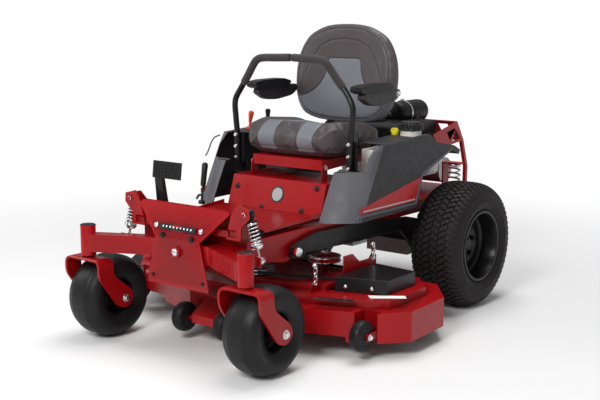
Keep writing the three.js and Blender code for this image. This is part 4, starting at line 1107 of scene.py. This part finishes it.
for radius in range(20, 100, 11):
    screen.add(lathe([(radius, 816), (radius + 4, 816), (radius + 4, 819), (radius, 819)],
                     (-40, 1385, 0), segments=64))
piece("blower_screen", screen, BLACK_COAT, "chassis", "black_plastic")
fins = Form()
for s in (-1, 1):
    for k in range(7):
        z = 548 + 16 * k
        fins.add(block(s * 86, s * 200, 1494, 1646, z, z + 4))
piece("cylinder_fins", fins, CAST, "chassis", "cast_alloy", bevel=0.8)

# ---- Cutting deck ------------------------------------------------------------------------

roller_half = [(9.4, 26), (30, 26), (36, 24), (40, 25.8), (47, 25), (53, 22), (57, 17),
               (59.4, 10), (60, 3)]
roller_parts = (("deck_roller", "roller_corner", 599, 445), ("deck_roller_middle",
                "roller_middle", 110, 229))
for node, body, x, y in roller_parts:
    wheel = form(lathe(mirrored_profile(roller_half), (x, y, 96), (1, 0, 0), 64))
    both(body + "_wheel", wheel, CASTER_RUBBER, body, "rubber", [node])
    nut = pieces_of(hex_head((x + 38, y, 96), (1, 0, 0), 10, 7))
    nut.add(rod((x + 26.4, y, 96), (x + 40, y, 96), 8.6))
    both(body + "_nut", nut, ZINC, "deck", "zinc_steel")


def chain_piece(name, x, y, top, bottom, body):
    links = Form()
    count = max(2, round((top - bottom) / 17))
    pitch = (top - bottom) / count
    for k in range(count):
        middle = Vector((x, y, top - (k + 0.5) * pitch))
        across = Vector((1, 0, 0)) if k % 2 else Vector((0, 1, 0))
        half, width = pitch * 0.5 + 2.5 - 7, 6.5
        loop = []
        for j in range(24):
            angle = 2 * math.pi * j / 24
            lift = half if math.sin(angle) > 0 else -half
            loop.append(middle + across * width * math.cos(angle)
                        + Vector((0, 0, lift + 6.5 * math.sin(angle))))
        links.add(sweep(loop, 2.4, 8, closed=True))
    both(name, links, ZINC, body, "zinc_steel")


chain_piece("front_chain", 337, 503, 322, 240, "deck")
chain_piece("rear_chain", 371, 855, 356, 284, "deck")
chain_bolts = Form()
for x, y, z in ((328, 503, 244), (328, 503, 318), (362, 855, 290), (362, 855, 350)):
    pieces_of(hex_head((x, y, z), (1, 0, 0), 7, 6), into=chain_bolts)
both("chain_bolts", chain_bolts, ZINC, "deck", "zinc_steel")
cover_bolts = Form()
for x, y in ((430, 574.5), (532, 607.5)):
    cover_bolts.add(lathe([(0, 0), (9, 0), (9, 2), (7.5, 5), (4, 7), (0, 7.5)],
                          (x, y, 234), (0.308, -0.951, 0), 28))
both("cover_bolts", cover_bolts, ZINC, "deck", "zinc_steel")
IDLER = (205, 740)
idler = form(lathe([(0, 276), (66, 276), (69, 278), (69, 281), (61, 284), (60, 292), (69, 296),
                    (69, 300), (64, 302), (40, 303), (34, 309), (22, 312), (0, 312.5)],
                   (*IDLER, 0), segments=64))
pieces_of(hex_head((*IDLER, 312), (0, 0, 1), 13, 9), into=idler)
piece("idler_pulley", idler, ZINC, "deck", "zinc_steel", bevel=0.4)
housing = form(lathe([(30, 226), (74, 226), (76, 229), (70, 233), (34, 236), (30, 236)],
                     (0, 560, 0), segments=48))
piece("spindle_housing", housing, BLACK_COAT, "deck", "black_paint")
label = form(prism("z", [(560, 556), (672, 640), (648, 668), (530, 584)], 212.2, 213))
piece("deck_label_light", label, WHITE, "deck", "red_paint")
dark_label = form(prism("z", [(395, 400), (540, 470), (524, 500), (380, 430)], 212.2, 213))
piece("deck_label_dark", dark_label, DARK_LABEL, "deck", "red_paint")

# ---- Front plate, footrest and seat base -------------------------------------------------

fixings = Form()
for x, y, z in ((116, 88, 490), (-116, 88, 490)):
    fixings.add(lathe([(0, 0), (11, 0), (11, 2), (9, 5), (4, 7.5), (0, 8)], (x, y, z),
                      (0, -0.95, 0.31), 32))
fixings.add(lathe([(0, 0), (15, 0), (15, 2), (13, 5), (8, 8), (0, 9.5)], (0, 66, 400),
                  (0, -1, 0), 36))
piece("plate_fixings", fixings, ZINC, "chassis", "zinc_steel")
dark_bolts = Form()
for x, z in ((75, 457), (-75, 457)):
    pieces_of(hex_head((x, 79, z), (0, -1, 0), 10, 7), into=dark_bolts)
for x, z in ((129, 294), (-129, 294)):
    pieces_of(hex_head((x, 77, z), (0, -1, 0), 6, 4), into=dark_bolts)
piece("plate_bolts", dark_bolts, BLACK_COAT, "chassis", "black_paint")


def on_plate(x, z, lift):
    """A point on the leaning upper part of the front plate."""
    return Vector((x, 78 + (z - 448) * 41 / 127 - lift, z + lift * 0.32))


def flat_plate(surface, corners, lift, depth=1.0):
    """A thin plate on a leaning surface, lifted off it."""
    low = [surface(x, z, lift) for x, z in corners]
    high = [surface(x, z, lift + depth) for x, z in corners]
    n = len(corners)
    faces = [list(range(n)), list(range(n, 2 * n))[::-1]]
    faces += [[i, n + i, n + (i + 1) % n, (i + 1) % n] for i in range(n)]
    return low + high, faces


panel = rounded([(-96, 478), (96, 478), (90, 500), (-90, 500)], 6)
piece("front_panel_dark", form(flat_plate(on_plate, panel, 9.0)), DARK_LABEL, "chassis",
      "black_plastic")
dots = Form()
for k in range(9):
    x = -72 + 18 * k
    square = rounded([(x - 3, 486), (x + 3, 486), (x + 3, 492), (x - 3, 492)], 2)
    dots.add(flat_plate(on_plate, square, 10.1))
piece("front_panel_dots", dots, WHITE, "chassis", "black_plastic")


def on_base(x, z, lift):
    """A point on the leaning front of the seat base."""
    return Vector((x, 645 + (z - 472) * 45 / 135 - lift, z + lift / 3))


BADGE_CENTRE = (10, 545)


def disc(radius, corners=48):
    turns = [2 * math.pi * k / corners for k in range(corners)]
    return [(BADGE_CENTRE[0] + radius * math.cos(turn), BADGE_CENTRE[1] + radius * math.sin(turn))
            for turn in turns]


piece("base_badge", form(flat_plate(on_base, disc(34), 0.3)), DARK_LABEL, "chassis",
      "black_plastic")
piece("base_badge_centre", form(flat_plate(on_base, disc(27), 1.4)), GREY_LABEL, "chassis",
      "black_plastic")
grommets = Form()
for x, z in ((-214, 560), (206, 588), (150, 492), (-60, 486)):
    points, faces = lathe([(4, 0), (12, 0), (12, 3), (9, 5), (4, 5)], (0, 0, 0), (0, -0.95, 0.3),
                          32)
    centre = on_base(x, z, 0)
    grommets.add(([p + centre for p in points], faces))
piece("base_grommets", grommets, BLACK_PLASTIC, "chassis", "black_plastic")

treads = Form()
for k in range(7):
    x = -190 + 17.5 * k
    for z in (668, 682, 696, 710):
        y = 160 + (z - 658) * 8 / 66
        treads.add(lathe([(0, 0), (4.5, 0), (3.4, 2.4), (0, 2.6)], (x, y, z), (0, -1, 0.12), 16))
piece("pedal_studs", treads, BLACK_COAT, "deck_pedal", "black_paint")
seat_bolts = Form()
for s in (-1, 1):
    pieces_of(hex_head((s * 192, 755, 663), (s, 0, 0), 10, 7), into=seat_bolts)
piece("seat_hinge_bolts", seat_bolts, ZINC, "chassis", "zinc_steel")
arm_bolts = Form()
for s in (-1, 1):
    arm_bolts.add(lathe([(0, 0), (19, 0), (19, 3), (15, 8), (0, 10)], (s * 308, 432, 380),
                        (s, 0, 0), 36))
piece("swing_arm_bolts", arm_bolts, ZINC, "chassis", "zinc_steel")

# ---- Camera, floor and light -------------------------------------------------------------

CAMERA_PLACE = (2827, -2793, 1291)
AZIMUTH, ELEVATION, ROLL = (math.radians(a) for a in (37.927, 9.7859, 0.137))
back = Vector((math.sin(AZIMUTH) * math.cos(ELEVATION), -math.cos(AZIMUTH) * math.cos(ELEVATION),
               math.sin(ELEVATION)))
right = Vector((math.cos(AZIMUTH), math.sin(AZIMUTH), 0))
up = back.cross(right)
right, up = (right * math.cos(ROLL) + up * math.sin(ROLL),
             up * math.cos(ROLL) - right * math.sin(ROLL))
camera = bpy.data.objects.new("camera", bpy.data.cameras.new("camera"))
camera.data.sensor_width = 36
camera.data.lens = 64.96
camera.data.clip_end = 100
camera.matrix_world = Matrix.Translation(at(*CAMERA_PLACE)) @ Matrix(
    (right, up, back)).transposed().to_4x4()
bpy.context.scene.collection.objects.link(camera)
bpy.context.scene.camera = camera

floor_mesh = bpy.data.meshes.new("floor")
edit = bmesh.new()
bmesh.ops.create_grid(edit, x_segments=4, y_segments=4, size=30)
edit.to_mesh(floor_mesh)
edit.free()
floor = bpy.data.objects.new("floor", floor_mesh)
floor.location.z = -0.0005
ground = Surface("floor", (0.9, 0.9, 0.9, 1), 0.7, grain=4, depth=0.0, mottle=0.01, patch=0.2,
                 uneven=0.05)
glow = ground.node("ShaderNodeEmission")
radius = ground.node("ShaderNodeVectorMath")
radius.operation = "LENGTH"
ground.link(ground.place, radius.inputs[0])
fade = ground.node("ShaderNodeMapRange")
fade.interpolation_type = "SMOOTHSTEP"
fade.inputs["From Min"].default_value = 1.1
fade.inputs["From Max"].default_value = 3.6
ground.link(radius.outputs["Value"], fade.inputs["Value"])
blend = ground.node("ShaderNodeMixShader")
ground.link(fade.outputs[0], blend.inputs[0])
ground.link(ground.shader.outputs[0], blend.inputs[1])
ground.link(glow.outputs[0], blend.inputs[2])
ground.link(blend.outputs[0], ground.tree.nodes["Material Output"].inputs["Surface"])
floor_mesh.materials.append(ground.material)
bpy.context.scene.collection.objects.link(floor)

world = bpy.data.worlds.new("studio")
bpy.context.scene.world = world
world.use_nodes = True
backdrop = world.node_tree.nodes["Background"]
backdrop.inputs[0].default_value = (1, 1, 1, 1)
backdrop.inputs[1].default_value = 0.36
bright = world.node_tree.nodes.new("ShaderNodeBackground")
bright.inputs[0].default_value = (1, 1, 1, 1)
bright.inputs[1].default_value = 1.0
seen = world.node_tree.nodes.new("ShaderNodeLightPath")
choice = world.node_tree.nodes.new("ShaderNodeMixShader")
world.node_tree.links.new(seen.outputs["Is Camera Ray"], choice.inputs[0])
world.node_tree.links.new(backdrop.outputs[0], choice.inputs[1])
world.node_tree.links.new(bright.outputs[0], choice.inputs[2])
world.node_tree.links.new(choice.outputs[0],
                          world.node_tree.nodes["World Output"].inputs["Surface"])


def area_light(name, place, target, size, power):
    lamp = bpy.data.objects.new(name, bpy.data.lights.new(name, "AREA"))
    lamp.data.shape = "DISK"
    lamp.data.size = size
    lamp.data.energy = power
    lamp.location = place
    lamp.rotation_euler = (Vector(target) - Vector(place)).to_track_quat("-Z", "Y").to_euler()
    bpy.context.scene.collection.objects.link(lamp)


area_light("key", (1.2, -4.4, 3.4), (0, -0.2, 0.4), 1.8, 150)
area_light("fill", (-3.6, -2.2, 2.6), (0, -0.2, 0.5), 2.5, 50)
area_light("top", (0.2, 0.6, 4.6), (0, 0, 0.5), 3.0, 120)

bpy.context.scene.view_settings.view_transform = "Standard"
